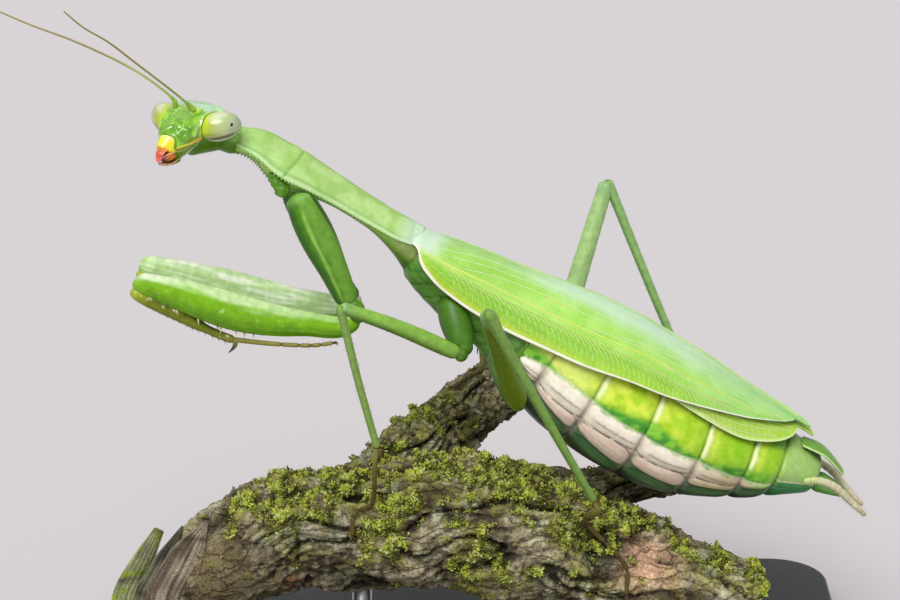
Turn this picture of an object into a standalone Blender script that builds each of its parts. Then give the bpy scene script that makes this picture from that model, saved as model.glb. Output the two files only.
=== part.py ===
"""A praying mantis, life size, gripping a short cut length of branch on a plain display stand.

The animal faces -X with its left side towards -Y, and +Z is up. Lengths below are in millimetres and
are turned to metres where a mesh is made. The origin is the middle of the stand's underside. The trunk
is lofted along one bent line, the wings are shells laid over the dome of the back, and every leg part
is a tapered limb along its own short path. Neighbours that would touch are trimmed with a thin gap.
"""

import math

import bmesh
import bpy
from mathutils import Vector
from mathutils.bvhtree import BVHTree

MM = 0.001
GAP = 0.12  # clear space between neighbouring solids

# Stance
ROLL = math.radians(11)  # the whole trunk leans towards its left side
HEAD_YAW = math.radians(58)  # the head is turned to the left
HEAD_PITCH = math.radians(42)  # and its face looks up

# Trunk: the middle line of thorax and abdomen, as (x, z)
TRUNK_LINE = [(-6.5, 46.6), (-2.5, 42.8), (1.5, 39.3), (5.0, 36.7), (9.0, 34.1), (13.0, 31.8), (17.0, 29.8),
              (21.0, 28.1), (25.0, 26.5), (29.0, 24.9), (33.0, 23.2), (37.5, 21.0)]
# Trunk sections, as (x, half width, height of the back, depth of the belly)
TRUNK_SECTIONS = [(-6.5, 2.2, 1.1, 3.0), (-2.5, 3.1, 3.3, 3.6), (1.5, 3.9, 4.9, 3.6), (5.0, 5.0, 5.5, 5.2),
                  (9.0, 6.3, 6.1, 6.7), (13.0, 6.9, 6.0, 7.5), (17.0, 7.1, 5.6, 7.95), (21.0, 7.0, 4.9, 7.85),
                  (25.0, 6.2, 3.7, 6.75), (29.0, 5.0, 3.0, 5.2), (32.0, 3.5, 2.4, 3.6), (34.5, 2.3, 1.6, 2.2)]
THORAX_CUTS = [-6.3, -1.4, 4.4]
ABDOMEN_CUTS = [4.4, 6.6, 11.2, 16.7, 22.2, 27.0, 30.2, 34.4]

# Pronotum: the middle of its flat underside, as (x, z), with its half width and roof height
PRONOTUM_LINE = [(-24.0, 57.9), (-21.6, 57.0), (-19.6, 55.6), (-17.0, 54.1), (-14.2, 52.35), (-11.2, 50.4),
                 (-8.3, 48.75), (-5.7, 47.6)]
PRONOTUM_WIDTH = [(0.0, 1.7), (0.13, 2.75), (0.27, 3.5), (0.42, 3.1), (0.58, 2.7), (0.75, 2.5), (0.9, 2.55),
                  (1.0, 1.9)]
PRONOTUM_ROOF = [(0.0, 1.25), (0.13, 1.7), (0.27, 1.9), (0.5, 1.65), (0.75, 1.5), (1.0, 1.1)]
PROSTERNUM_DEPTH = [(0.0, 1.5), (0.15, 1.8), (0.3, 2.4), (0.42, 1.7), (0.55, 1.15), (0.85, 1.5), (1.0, 2.0)]
MARGIN = 0.3  # thickness of the pronotum's side edge under its middle plane

# Wings: the dome of the back that they lie on, as (x, half width, height)
WING_DOME = [(-6.9, 2.7, 1.9), (-4.8, 3.5, 3.3), (-2.5, 4.1, 4.7), (1.5, 4.9, 6.45), (5.0, 6.0, 7.46),
             (9.0, 7.0, 8.14), (13.0, 7.6, 8.2), (17.0, 7.7, 7.75), (21.0, 7.4, 7.04), (25.0, 6.6, 5.95),
             (29.0, 5.6, 5.06), (33.0, 4.6, 4.3)]
WING_THICKNESS = 0.5
# Outer edges of the wings, as (x, degrees round the dome from the ridge)
FOREWING_EDGE = [(-6.9, 40), (-6.0, 78), (-4.6, 88), (-2.5, 86), (1.5, 77), (5.0, 68.7), (9.0, 62.4),
                 (13.0, 55.2), (17.0, 50.9), (21.0, 45.0), (25.0, 35.5), (27.2, 27.0), (28.8, 18.0),
                 (29.7, 9.0), (30.0, 4.0)]
HINDWING_EDGE = [(3.0, 25), (9.0, 44), (13.0, 47), (17.0, 48), (19.5, 51), (22.0, 53.5), (25.0, 55), (27.0, 51),
                 (29.0, 40), (30.2, 24), (30.6, 6.0)]
RIGHT_WINGS_LONGER = 1.7

# Head, in its own frame: l to the animal's left, u towards the crown, f out of the face
HEAD_CENTRE = Vector((-29.05, -2.6, 59.5))
# Its levels, as (u, half width, front, back, bend), where a bend of 1 is an ellipse and less is boxier
HEAD_LEVELS = [(3.4, 1.5, -0.75, -1.45, 1.0), (3.1, 2.2, -0.25, -1.85, 0.95), (2.4, 2.6, 0.45, -2.1, 0.9),
               (1.7, 2.5, 1.1, -2.15, 0.85), (0.7, 2.35, 1.65, -2.1, 0.85), (-0.4, 2.3, 1.9, -1.95, 0.9),
               (-1.4, 1.95, 2.05, -1.8, 0.95), (-2.3, 1.5, 2.15, -1.5, 1.0), (-3.1, 1.1, 2.15, -1.0, 1.0),
               (-3.4, 0.95, 2.1, -0.8, 1.0)]
EYE_CENTRE = Vector((3.18, 1.25, -1.05))
EYE_LONG_AXIS = Vector((0.80, 0.48, -0.36))
EYE_RADII = (2.15, 1.42, 1.42)
MOUTH_LEVELS = [(-3.53, 0.88, 2.05, -0.7, 1.0), (-4.0, 0.75, 2.05, -0.4, 1.0), (-4.5, 0.5, 2.0, 0.2, 1.0),
                (-4.85, 0.3, 1.85, 1.0, 1.0)]

# Stand and perch
BASE_SIZE = Vector((76.0, 50.0, 3.0))
BASE_ROUND = 6.0
BASE_CHAMFER = 0.5
ROD_RADIUS = 1.0
ROD_TOP = 16.0
ROD_PLACES = [(-12.0, -1.5), (11.0, -1.0)]
LIMB_LINE = [(-32.5, -3.5, 7.8), (-28.5, -3.2, 11.0), (-24.0, -3.0, 14.8), (-18.0, -2.8, 17.4),
             (-11.0, -2.6, 17.5), (-4.0, -2.5, 18.4), (2.0, -2.5, 17.9), (8.0, -2.6, 15.9), (13.5, -2.8, 13.6),
             (20.0, -3.0, 11.2), (27.5, -3.2, 8.6)]
LIMB_RADIUS = [(0.0, 3.7), (0.1, 4.8), (0.22, 6.1), (0.4, 6.6), (0.55, 7.0), (0.7, 6.4), (0.85, 5.3),
               (1.0, 4.7)]
FORK_LINE = [(-15.0, -1.0, 17.2), (-10.5, 5.0, 19.4), (-5.0, 12.0, 21.4), (0.5, 20.5, 23.0), (5.0, 26.0, 25.2)]
FORK_RADIUS = [(0.0, 4.4), (0.5, 3.9), (1.0, 3.4)]
STUB_LINE = [(0.0, 1.0, 16.8), (6.0, 7.5, 16.6), (13.0, 10.3, 16.6), (24.5, 11.2, 18.7)]
STUB_RADIUS = [(0.0, 3.6), (0.5, 2.6), (1.0, 2.0)]
FOOT_RADIUS = 0.27

COLOURS = {
    "leg": (0.15, 0.36, 0.03), "pronotum": (0.37, 0.66, 0.24), "wing": (0.37, 0.71, 0.13),
    "abdomen": (0.42, 0.66, 0.07), "eye": (0.55, 0.62, 0.33), "mouth": (0.72, 0.22, 0.12),
    "feeler": (0.40, 0.26, 0.09), "bark": (0.12, 0.085, 0.06), "stand": (0.05, 0.05, 0.055),
    "rod": (0.55, 0.55, 0.57),
}


# ---------------------------------------------------------------- small tools


def clear_scene():
    """Empties the scene."""
    for thing in list(bpy.data.objects):
        bpy.data.objects.remove(thing, do_unlink=True)


def material(kind):
    """The material of one kind of surface."""
    name = "mantis_" + kind
    found = bpy.data.materials.get(name)
    if found:
        return found
    made = bpy.data.materials.new(name)
    made.use_nodes = True
    shader = made.node_tree.nodes["Principled BSDF"]
    shader.inputs["Base Color"].default_value = (*COLOURS[kind], 1.0)
    shader.inputs["Roughness"].default_value = 0.85 if kind == "bark" else 0.42
    shader.inputs["Metallic"].default_value = 1.0 if kind == "rod" else 0.0
    return made


def reading(stops, t):
    """A smooth value at t between (t, value) stops."""
    if t <= stops[0][0]:
        return stops[0][1]
    for (t0, v0), (t1, v1) in zip(stops, stops[1:]):
        if t <= t1:
            k = (t - t0) / (t1 - t0)
            before = stops[max(stops.index((t0, v0)) - 1, 0)]
            after = stops[min(stops.index((t1, v1)) + 1, len(stops) - 1)]
            slope0 = (v1 - before[1]) / max(t1 - before[0], 1e-9) * (t1 - t0)
            slope1 = (after[1] - v0) / max(after[0] - t0, 1e-9) * (t1 - t0)
            return ((2 * k**3 - 3 * k**2 + 1) * v0 + (k**3 - 2 * k**2 + k) * slope0
                    + (3 * k**2 - 2 * k**3) * v1 + (k**3 - k**2) * slope1)
    return stops[-1][1]


def along(points, t):
    """The place at t, 0 to 1, on a smooth curve through the points, even in distance between them."""
    points = [Vector(p) for p in points]
    marks = [0.0]
    for a, b in zip(points, points[1:]):
        marks.append(marks[-1] + (b - a).length)
    marks = [m / marks[-1] for m in marks]
    return Vector([reading([(m, p[i]) for m, p in zip(marks, points)], t) for i in range(3)])


def solid(name, kind, vertices, faces):
    """One object from vertices in millimetres, its faces turned outwards."""
    mesh = bpy.data.meshes.new(name)
    mesh.from_pydata([Vector(v) * MM for v in vertices], [], faces)
    body = bmesh.new()
    body.from_mesh(mesh)
    bmesh.ops.recalc_face_normals(body, faces=body.faces)
    body.to_mesh(mesh)
    body.free()
    mesh.materials.append(material(kind))
    mesh.shade_smooth()
    made = bpy.data.objects.new(name, mesh)
    bpy.context.scene.collection.objects.link(made)
    return made


def loft(name, kind, rings):
    """A closed body through rings of equal count, with a middle vertex in each end."""
    count = len(rings[0])
    vertices = [v for ring in rings for v in ring]
    faces = []
    for i in range(len(rings) - 1):
        for j in range(count):
            k = (j + 1) % count
            faces.append((i * count + j, i * count + k, (i + 1) * count + k, (i + 1) * count + j))
    for ring, first in ((rings[0], 0), (rings[-1], (len(rings) - 1) * count)):
        vertices.append(sum((Vector(v) for v in ring), Vector()) / count)
        hub = len(vertices) - 1
        faces += [(first + j, first + (j + 1) % count, hub) for j in range(count)]
    return solid(name, kind, vertices, faces)


def ring_at(centre, across, upward, half_width, half_depth, sides, turn=0.0):
    """One elliptical ring."""
    ring = []
    for j in range(sides):
        a = 2 * math.pi * j / sides + turn
        ring.append(centre + across * (half_width * math.cos(a)) + upward * (half_depth * math.sin(a)))
    return ring


def limb(name, kind, path, half_widths, flat=1.0, across=(0, -1, 0), sides=8, rings=7, dome=(1.0, 1.0)):
    """A tapered limb: half_widths are (t, half depth) stops, flat is its thickness across as a share of that.

    dome gives how far each end is rounded, as a share of the end's half depth.
    """
    across = Vector(across)
    length = sum((Vector(b) - Vector(a)).length for a, b in zip(path, path[1:]))
    start, end = half_widths[0][1] * dome[0] / length, half_widths[-1][1] * dome[1] / length
    turn = math.radians(45)
    marks = [(start * (1 - math.cos(turn)), math.sin(turn))]
    marks += [(start + (1 - start - end) * i / (rings - 1), 1.0) for i in range(rings)]
    marks += [(1 - end * (1 - math.cos(turn)), math.sin(turn))]
    loops = []
    for t, share in marks:
        centre = along(path, t)
        ahead = (along(path, min(t + 0.02, 1.0)) - along(path, max(t - 0.02, 0.0))).normalized()
        side = (across - ahead * across.dot(ahead)).normalized()
        up = ahead.cross(side)
        depth = reading(half_widths, t) * share
        loops.append(ring_at(centre, side, up, depth * flat, depth, sides))
    return loft(name, kind, loops)


def cutter_from(body, by):
    """A hidden copy of a body with its surface moved out by a distance, to cut others with."""
    mesh = body.data.copy()
    for vertex, normal in zip(mesh.vertices, [v.normal.copy() for v in mesh.vertices]):
        vertex.co += normal * (by * MM)
    made = bpy.data.objects.new("cutter_" + body.name, mesh)
    made.hide_render = True
    made.display_type = "WIRE"
    bpy.context.scene.collection.objects.link(made)
    return made


def combine(body, other, operation):
    """Adds one boolean to a body."""
    step = body.modifiers.new(operation.lower() + "_" + other.name, "BOOLEAN")
    step.operation = operation
    step.object = other
    step.solver = "EXACT"


def trim(body, *neighbours, by=GAP):
    """Cuts a body back to a gap from its neighbours."""
    for neighbour in neighbours:
        combine(body, cutter_from(neighbour, by), "DIFFERENCE")


# ---------------------------------------------------------------- trunk


def trunk_frame(x):
    """Centre, left and upward directions of the thorax and abdomen at x."""
    height = reading(TRUNK_LINE, x)
    slope = (reading(TRUNK_LINE, x + 0.3) - reading(TRUNK_LINE, x - 0.3)) / 0.6
    ahead = Vector((1, 0, slope)).normalized()
    upright = Vector((-ahead.z, 0, ahead.x))
    up = upright * math.cos(ROLL) + Vector((0, -1, 0)) * math.sin(ROLL)
    left = Vector((0, -1, 0)) * math.cos(ROLL) - upright * math.sin(ROLL)
    return Vector((x, 0, height)), left, up


def trunk_ring(x, sides, shrink=0.0):
    """One section of thorax or abdomen, the belly deeper than the back."""
    centre, left, up = trunk_frame(x)
    width, back, belly = (reading([(s[0], s[i]) for s in TRUNK_SECTIONS], x) - shrink for i in (1, 2, 3))
    ring = []
    for j in range(sides):
        a = 2 * math.pi * j / sides
        rise = math.sin(a)
        ring.append(centre + left * (width * math.cos(a)) + up * (rise * (back if rise > 0 else belly)))
    return ring


def trunk_piece(name, kind, start, end, sides=18, rings=3):
    """A length of the trunk between two cuts, its edges eased so that each ring of the body shows."""
    start, end = start + GAP / 2, end - GAP / 2
    ease = 0.25
    marks = [(start, 0.3)]
    marks += [(start + ease + (end - start - 2 * ease) * i / (rings - 1), 0.0) for i in range(rings)]
    marks += [(end, 0.3)]
    return loft(name, kind, [trunk_ring(x, sides, shrink) for x, shrink in marks])


def make_trunk():
    """Mesothorax, metathorax and the rings of the abdomen."""
    pieces = {}
    for name, a, b in zip(("mesothorax", "metathorax"), THORAX_CUTS, THORAX_CUTS[1:]):
        pieces[name] = trunk_piece(name, "leg", a, b)
    for i, (a, b) in enumerate(zip(ABDOMEN_CUTS, ABDOMEN_CUTS[1:]), start=1):
        name = f"abdomen_ring_{i}"
        pieces[name] = trunk_piece(name, "abdomen", a, b)
    return pieces


def make_tail(last_ring):
    """The leaf over the end of the abdomen, the pointed valves under it and the two cerci."""
    leaf = limb("supra_anal_plate", "abdomen", [(32.6, -0.2, 26.1), (34.9, -0.4, 25.0), (36.9, -0.5, 22.7)],
                [(0.0, 0.3), (0.35, 0.34), (1.0, 0.25)], flat=5.6, sides=10, rings=5)
    valves = limb("ovipositor", "abdomen", [(34.5, -0.3, 21.7), (36.0, -0.4, 21.0), (37.6, -0.5, 20.2)],
                  [(0.0, 1.35), (0.6, 0.8), (1.0, 0.3)], flat=0.8, sides=10, rings=5)
    trim(leaf, last_ring, valves)
    trim(valves, last_ring)
    for name, side in (("cercus_left", -1), ("cercus_right", 1)):
        path = [(32.6, side * 2.7 - 0.5, 22.8), (34.0, side * 2.9 - 0.5, 23.0), (35.8, side * 2.6 - 0.5, 22.2),
                (37.3, side * 2.0 - 0.5, 20.6), (39.2, side * 1.4 - 0.5, 18.6)]
        feeler = limb(name, "feeler", path, [(0.0, 0.36), (0.5, 0.38), (1.0, 0.25)], sides=6, rings=6)
        trim(feeler, last_ring, leaf)


def make_prothorax():
    """The roofed shield of the pronotum and the body under it."""
    line = [(x, 0, z) for x, z in PRONOTUM_LINE]
    steps, sides = 12, 8
    shield, under = [], []
    for i in range(steps + 1):
        t = i / steps
        centre = along(line, t)
        ahead = (along(line, min(t + 0.02, 1)) - along(line, max(t - 0.02, 0))).normalized()
        upright = Vector((-ahead.z, 0, ahead.x))
        up = upright * math.cos(ROLL) + Vector((0, -1, 0)) * math.sin(ROLL)
        left = Vector((0, -1, 0)) * math.cos(ROLL) - upright * math.sin(ROLL)
        width, roof = reading(PRONOTUM_WIDTH, t), reading(PRONOTUM_ROOF, t)
        ring = []
        for j in range(sides + 1):
            a = math.pi * j / sides
            sideways = math.cos(a)
            height = roof * (1 - abs(sideways) ** 1.7)
            ring.append(centre + left * (width * sideways) + up * height)
        for j in range(1, 4):
            sideways = -1 + 2 * j / 4
            ring.append(centre + left * (width * sideways * 0.97) - up * MARGIN)
        shield.append(ring)
        depth = reading(PROSTERNUM_DEPTH, t)
        ring = []
        for j in range(10):
            a = 2 * math.pi * j / 10
            drop = -MARGIN - GAP - (depth - MARGIN) * max(0.0, -math.sin(a))
            ring.append(centre + left * (width * 0.8 * math.cos(a)) + up * (drop - 0.01 * math.sin(a)))
        under.append(ring)
    pronotum = loft("pronotum", "pronotum", shield)
    prosternum = loft("prosternum", "leg", under)
    return pronotum, prosternum


# ---------------------------------------------------------------- wings


def dome_place(x, angle, side, rise):
    """A place on the dome of the back: angle in degrees from the ridge, rise off its surface."""
    centre, left, up = trunk_frame(x)
    width, height = (reading([(s[0], s[i]) for s in WING_DOME], x) for i in (1, 2))
    a = math.radians(angle)
    out = Vector((math.sin(a) / width, math.cos(a) / height)).normalized()
    return (centre + left * (side * (width * math.sin(a) + rise * out.x))
            + up * (height * math.cos(a) + rise * out.y))


def wing(name, side, edge, rise, stations, columns=7, longer=0.0):
    """A thin shell on the dome, from near the ridge out to its edge."""
    first, last = edge[0][0], edge[-1][0]
    stretch = (last + longer - first) / (last - first)
    upper, lower = [], []
    for i in range(stations + 1):
        k = i / stations
        x = first + (last - first) * k
        place = first + (x - first) * stretch
        width = reading([(s[0], s[1]) for s in WING_DOME], place)
        inner = math.degrees((GAP * 0.6) / width)
        outer = max(reading(edge, x), inner + 3.0)
        angles = [inner + (outer - inner) * j / columns for j in range(columns + 1)]
        upper.append([dome_place(place, a, side, rise) for a in angles])
        lower.append([dome_place(place, a, side, rise - WING_THICKNESS) for a in angles])
    return loft(name, "wing", [u + low[::-1] for u, low in zip(upper, lower)])


def make_wings():
    """Two forewings over two hindwings, each pair meeting along the ridge of the back."""
    under = -WING_THICKNESS - GAP
    forewings = []
    for name, side, longer in (("left", 1, 0.0), ("right", -1, RIGHT_WINGS_LONGER)):
        forewings.append(wing("forewing_" + name, side, FOREWING_EDGE, 0.0, 14, columns=5, longer=longer))
        wing("hindwing_" + name, side, HINDWING_EDGE, under, 10, columns=4, longer=longer)
    return forewings


# ---------------------------------------------------------------- head


def head_axes():
    """The head's left, crown and face directions."""
    face = Vector((-math.cos(HEAD_PITCH) * math.cos(HEAD_YAW), -math.cos(HEAD_PITCH) * math.sin(HEAD_YAW),
                   math.sin(HEAD_PITCH)))
    left = Vector((math.sin(HEAD_YAW), -math.cos(HEAD_YAW), 0))
    crown = Vector((math.cos(HEAD_YAW) * math.sin(HEAD_PITCH), math.sin(HEAD_YAW) * math.sin(HEAD_PITCH),
                    math.cos(HEAD_PITCH)))
    return left, crown, face


def head_place(l, u, f):
    """A place in the head's frame."""
    left, crown, face = head_axes()
    return HEAD_CENTRE + left * l + crown * u + face * f


def head_ring(u, half_width, front, back, bend, sides):
    """One level of the head, between an ellipse and a rounded box in plan."""
    ring = []
    for j in range(sides):
        a = 2 * math.pi * j / sides
        c, s = math.cos(a), math.sin(a)
        across = math.copysign(abs(c) ** bend, c) * half_width
        through = (front + back) / 2 + math.copysign(abs(s) ** bend, s) * (front - back) / 2
        ring.append(head_place(across, u, through))
    return ring


def make_head():
    """Head capsule with eye sockets, eyes, mouthparts and feelers."""
    capsule = loft("head", "leg", [head_ring(*level, 14) for level in HEAD_LEVELS])
    loft("mouthparts", "mouth", [head_ring(*level, 12) for level in MOUTH_LEVELS])
    eyes = []
    for name, side in (("eye_left", 1), ("eye_right", -1)):
        long_axis = Vector((side * EYE_LONG_AXIS.x, EYE_LONG_AXIS.y, EYE_LONG_AXIS.z)).normalized()
        outward = Vector((side, 0, 0))
        second = (outward - long_axis * outward.dot(long_axis)).normalized()
        third = long_axis.cross(second)
        rings = []
        levels = 8
        for i in range(1, levels):
            b = math.pi * i / levels
            ring = []
            for j in range(12):
                a = 2 * math.pi * j / 12
                p = (long_axis * (-EYE_RADII[0] * math.cos(b))
                     + second * (EYE_RADII[1] * math.sin(b) * math.cos(a))
                     + third * (EYE_RADII[2] * math.sin(b) * math.sin(a)))
                p += Vector((side * EYE_CENTRE.x, EYE_CENTRE.y, EYE_CENTRE.z))
                ring.append(head_place(*p))
            rings.append(ring)
        eyes.append(loft(name, "eye", rings))
    trim(capsule, *eyes)
    paths = {
        "antenna_left": [head_place(1.12, 1.6, 0.9), head_place(0.84, 1.75, 1.9), (-30.1, -8.6, 65.25),
                         (-33.0, -10.2, 68.1), (-35.1, -11.8, 70.3), (-37.3, -13.4, 72.15), (-38.8, -15.0, 74.0)],
        "antenna_right": [head_place(-1.12, 1.6, 0.9), head_place(-1.03, 2.0, 1.9), (-32.2, -2.8, 64.4),
                          (-34.6, -2.4, 65.8), (-37.6, -2.0, 67.2), (-40.3, -1.7, 68.3), (-43.5, -1.3, 69.4),
                          (-46.7, -0.9, 70.7), (-47.9, -0.5, 71.2)],
    }
    for name, path in paths.items():
        feeler = limb(name, "feeler", path, [(0.0, 0.36), (0.08, 0.36), (0.14, 0.27), (1.0, 0.25)], sides=5,
                      rings=13)
        trim(feeler, capsule)
    return capsule, eyes


def make_neck(capsule, eyes):
    """The soft neck from the back of the head to the front of the shield, ending flat there."""
    start = head_place(0.0, -0.7, -1.0)
    front = Vector((PRONOTUM_LINE[0][0], 0, PRONOTUM_LINE[0][1] - MARGIN))
    behind = Vector((PRONOTUM_LINE[1][0], 0, PRONOTUM_LINE[1][1] - MARGIN))
    ahead = (behind - front).normalized()
    end = front - ahead * (GAP * 1.5)
    neck = limb("neck", "pronotum", [start, end - ahead * 2.2, end - ahead * 0.8, end],
                [(0.0, 1.75), (0.5, 1.8), (1.0, 1.6)], flat=1.0, sides=10, rings=5, dome=(0.3, 0.0))
    trim(neck, capsule, *eyes)
    return neck


# ---------------------------------------------------------------- perch and stand


def bark_tube(name, path, radii, sides, rings, knots):
    """A gnarled limb of the branch; its ends are cut square."""
    loops = []
    for i in range(rings + 1):
        t = i / rings
        centre = along(path, t)
        ahead = (along(path, min(t + 0.03, 1)) - along(path, max(t - 0.03, 0))).normalized()
        side = (Vector((0, -1, 0)) - ahead * Vector((0, -1, 0)).dot(ahead)).normalized()
        up = ahead.cross(side)
        radius = reading(radii, t)
        ring = []
        for j in range(sides):
            a = 2 * math.pi * j / sides
            bump = 1 + knots * (math.sin(3 * a + 9 * t) + 0.7 * math.sin(5 * a - 17 * t + 1.0)
                                + 0.6 * math.sin(2 * a + 31 * t))
            ring.append(centre + (side * math.cos(a) + up * math.sin(a)) * (radius * bump))
        loops.append(ring)
    return loft(name, "bark", loops)


def surface_of(*bodies):
    """A tree that finds places on the bodies' meshes, in millimetres."""
    vertices, faces = [], []
    for body in bodies:
        first = len(vertices)
        vertices += [v.co / MM for v in body.data.vertices]
        faces += [tuple(first + i for i in face.vertices) for face in body.data.polygons]
    return BVHTree.FromPolygons(vertices, faces)


def resting(surface, places, lift):
    """Moves each place onto the nearest bark, lifted off it, and keeps places marked free."""
    moved = []
    for place, touching in places:
        place = Vector(place)
        if touching:
            found, normal, _, _ = surface.find_nearest(place)
            place = found + normal * lift
        moved.append(tuple(place))
    return moved


def make_perch():
    """A forked piece of branch in one solid, with its three limbs for trimming what rests on it."""
    branch = bark_tube("perch", LIMB_LINE, LIMB_RADIUS, 13, 15, 0.045)
    fork = bark_tube("fork", FORK_LINE, FORK_RADIUS, 10, 7, 0.04)
    stub = bark_tube("stub", STUB_LINE, STUB_RADIUS, 10, 6, 0.04)
    for other in (fork, stub):
        other.hide_render = True
        other.display_type = "WIRE"
        combine(branch, other, "UNION")
    return branch, fork, stub


def make_stand(perch):
    """A flat plate with rounded corners and two short rods up to the branch."""
    outline = []
    half_x, half_y = BASE_SIZE.x / 2 - BASE_ROUND, BASE_SIZE.y / 2 - BASE_ROUND
    for quarter, (sx, sy) in enumerate(((1, 1), (-1, 1), (-1, -1), (1, -1))):
        for step in range(5):
            a = math.pi / 2 * (quarter + step / 4)
            outline.append((sx * half_x + BASE_ROUND * math.cos(a), sy * half_y + BASE_ROUND * math.sin(a)))
    levels = ((0.0, 1.0), (BASE_SIZE.z - BASE_CHAMFER, 1.0), (BASE_SIZE.z, 1 - 2 * BASE_CHAMFER / BASE_SIZE.y))
    loft("stand_base", "stand", [[Vector((x * k, y * k, z)) for x, y in outline] for z, k in levels])
    for i, (x, y) in enumerate(ROD_PLACES, start=1):
        foot = BASE_SIZE.z + GAP
        rings = [ring_at(Vector((x, y, z)), Vector((1, 0, 0)), Vector((0, 1, 0)), ROD_RADIUS, ROD_RADIUS, 12)
                 for z in (foot, ROD_TOP)]
        rod = loft(f"stand_rod_{i}", "rod", rings)
        trim(rod, perch)


# ---------------------------------------------------------------- legs


def make_foreleg(side, under, shield):
    """Coxa, spined femur, folded tibia with its claw, and the thin tarsus."""
    name = "left" if side < 0 else "right"
    out = side * 3.4 - 0.4
    top = side * 2.6 - 0.4
    back = 0.0 if side < 0 else -0.9
    coxa = limb(f"foreleg_{name}_coxa", "leg",
                [(-18.5 + back, top, 53.9), (-16.9 + back, top + side * 0.4, 50.2), (-14.7 + back, out, 45.9),
                 (-12.9 + back, out, 41.6)],
                [(0.0, 1.2), (0.2, 1.6), (0.45, 1.72), (0.75, 1.4), (1.0, 1.1)], flat=0.72, sides=8, rings=6)
    trim(coxa, under, shield)
    femur = limb(f"foreleg_{name}_femur", "leg",
                 [(-12.0, out, 40.3), (-13.9, out, 39.4), (-17.0, out, 39.7), (-20.5, out, 40.1),
                  (-24.0, out, 40.85), (-27.5, out, 41.9), (-30.5, out, 42.9), (-33.9, out, 43.85)],
                 [(0.0, 0.9), (0.1, 1.15), (0.25, 1.35), (0.42, 1.8), (0.58, 1.98), (0.72, 1.8), (0.88, 1.42),
                  (1.0, 1.15)], flat=0.56, sides=10, rings=9)
    trim(femur, coxa)
    tibia = limb(f"foreleg_{name}_tibia", "leg",
                 [(-33.95, out, 43.4), (-33.7, out, 42.55), (-31.7, out, 41.45), (-29.4, out, 40.2),
                  (-27.4, out, 39.1), (-25.6, out, 38.35), (-24.2, out, 38.0), (-24.4, out, 37.4),
                  (-25.0, out, 36.7)],
                 [(0.0, 0.6), (0.12, 0.72), (0.4, 0.68), (0.62, 0.55), (0.8, 0.42), (1.0, 0.12)], flat=0.9,
                 sides=6, rings=10)
    trim(tibia, femur)
    tarsus = limb(f"foreleg_{name}_tarsus", "leg",
                  [(-23.5, out, 38.0), (-21.5, out, 37.75), (-18.9, out, 37.55), (-16.5, out, 37.5),
                   (-14.6, out, 37.75)],
                  [(0.0, 0.3), (0.3, 0.27), (1.0, 0.25)], sides=6, rings=6)
    trim(tarsus, tibia, femur)


WALKING_LEGS = {
    # joints as (x, y, z): hip, end of the coxa, knee, end of the tibia, then the foot with what touches bark
    "midleg_left": dict(hip=[(-4.1, -2.6, 44.2), (-2.9, -3.8, 41.0), (-1.5, -5.2, 36.8)],
                        knee=(-13.65, -10.5, 43.7), ankle=(-10.2, -9.5, 28.9),
                        foot=[((-10.4, -9.3, 27.1), False), ((-10.5, -8.8, 24.4), True),
                              ((-12.2, -10.0, 21.8), True), ((-13.2, -10.8, 19.8), True)],
                        coxa=(1.35, 1.6, 1.0), femur=(0.78, 0.62), tibia=(0.42, 0.36)),
    "midleg_right": dict(hip=[(-4.0, 2.4, 44.2), (-2.8, 3.6, 41.6), (-1.3, 5.2, 38.2)],
                         knee=(0.0, 19.3, 39.6), ankle=(0.3, 20.8, 29.1),
                         foot=[((0.4, 21.0, 28.0), False), ((0.4, 20.0, 26.9), True),
                               ((-1.2, 17.6, 26.4), True), ((-2.6, 15.6, 25.6), True)],
                         coxa=(1.35, 1.6, 1.0), femur=(0.75, 0.6), tibia=(0.42, 0.36)),
    "hindleg_left": dict(hip=[(1.6, -3.6, 37.4), (2.6, -4.9, 34.8), (3.8, -6.3, 31.9)],
                         knee=(0.45, -22.5, 47.1), ankle=(11.1, -12.0, 24.2),
                         foot=[((11.6, -11.6, 22.9), False), ((12.5, -9.6, 20.6), True),
                               ((13.9, -9.8, 16.6), True), ((14.9, -9.6, 12.8), True)],
                         coxa=(1.3, 1.5, 1.05), femur=(1.1, 0.8), tibia=(0.52, 0.38)),
    "hindleg_right": dict(hip=[(2.6, 3.6, 36.8), (4.6, 5.6, 33.6), (7.2, 7.6, 30.4)],
                          knee=(13.2, 13.2, 49.6), ankle=(22.9, 11.7, 26.4),
                          foot=[((23.0, 11.6, 24.4), False), ((22.0, 11.2, 20.0), True),
                                ((19.4, 11.0, 19.5), True), ((16.8, 10.8, 19.0), True)],
                          coxa=(1.3, 1.5, 1.05), femur=(1.05, 0.85), tibia=(0.5, 0.38)),
}


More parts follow.
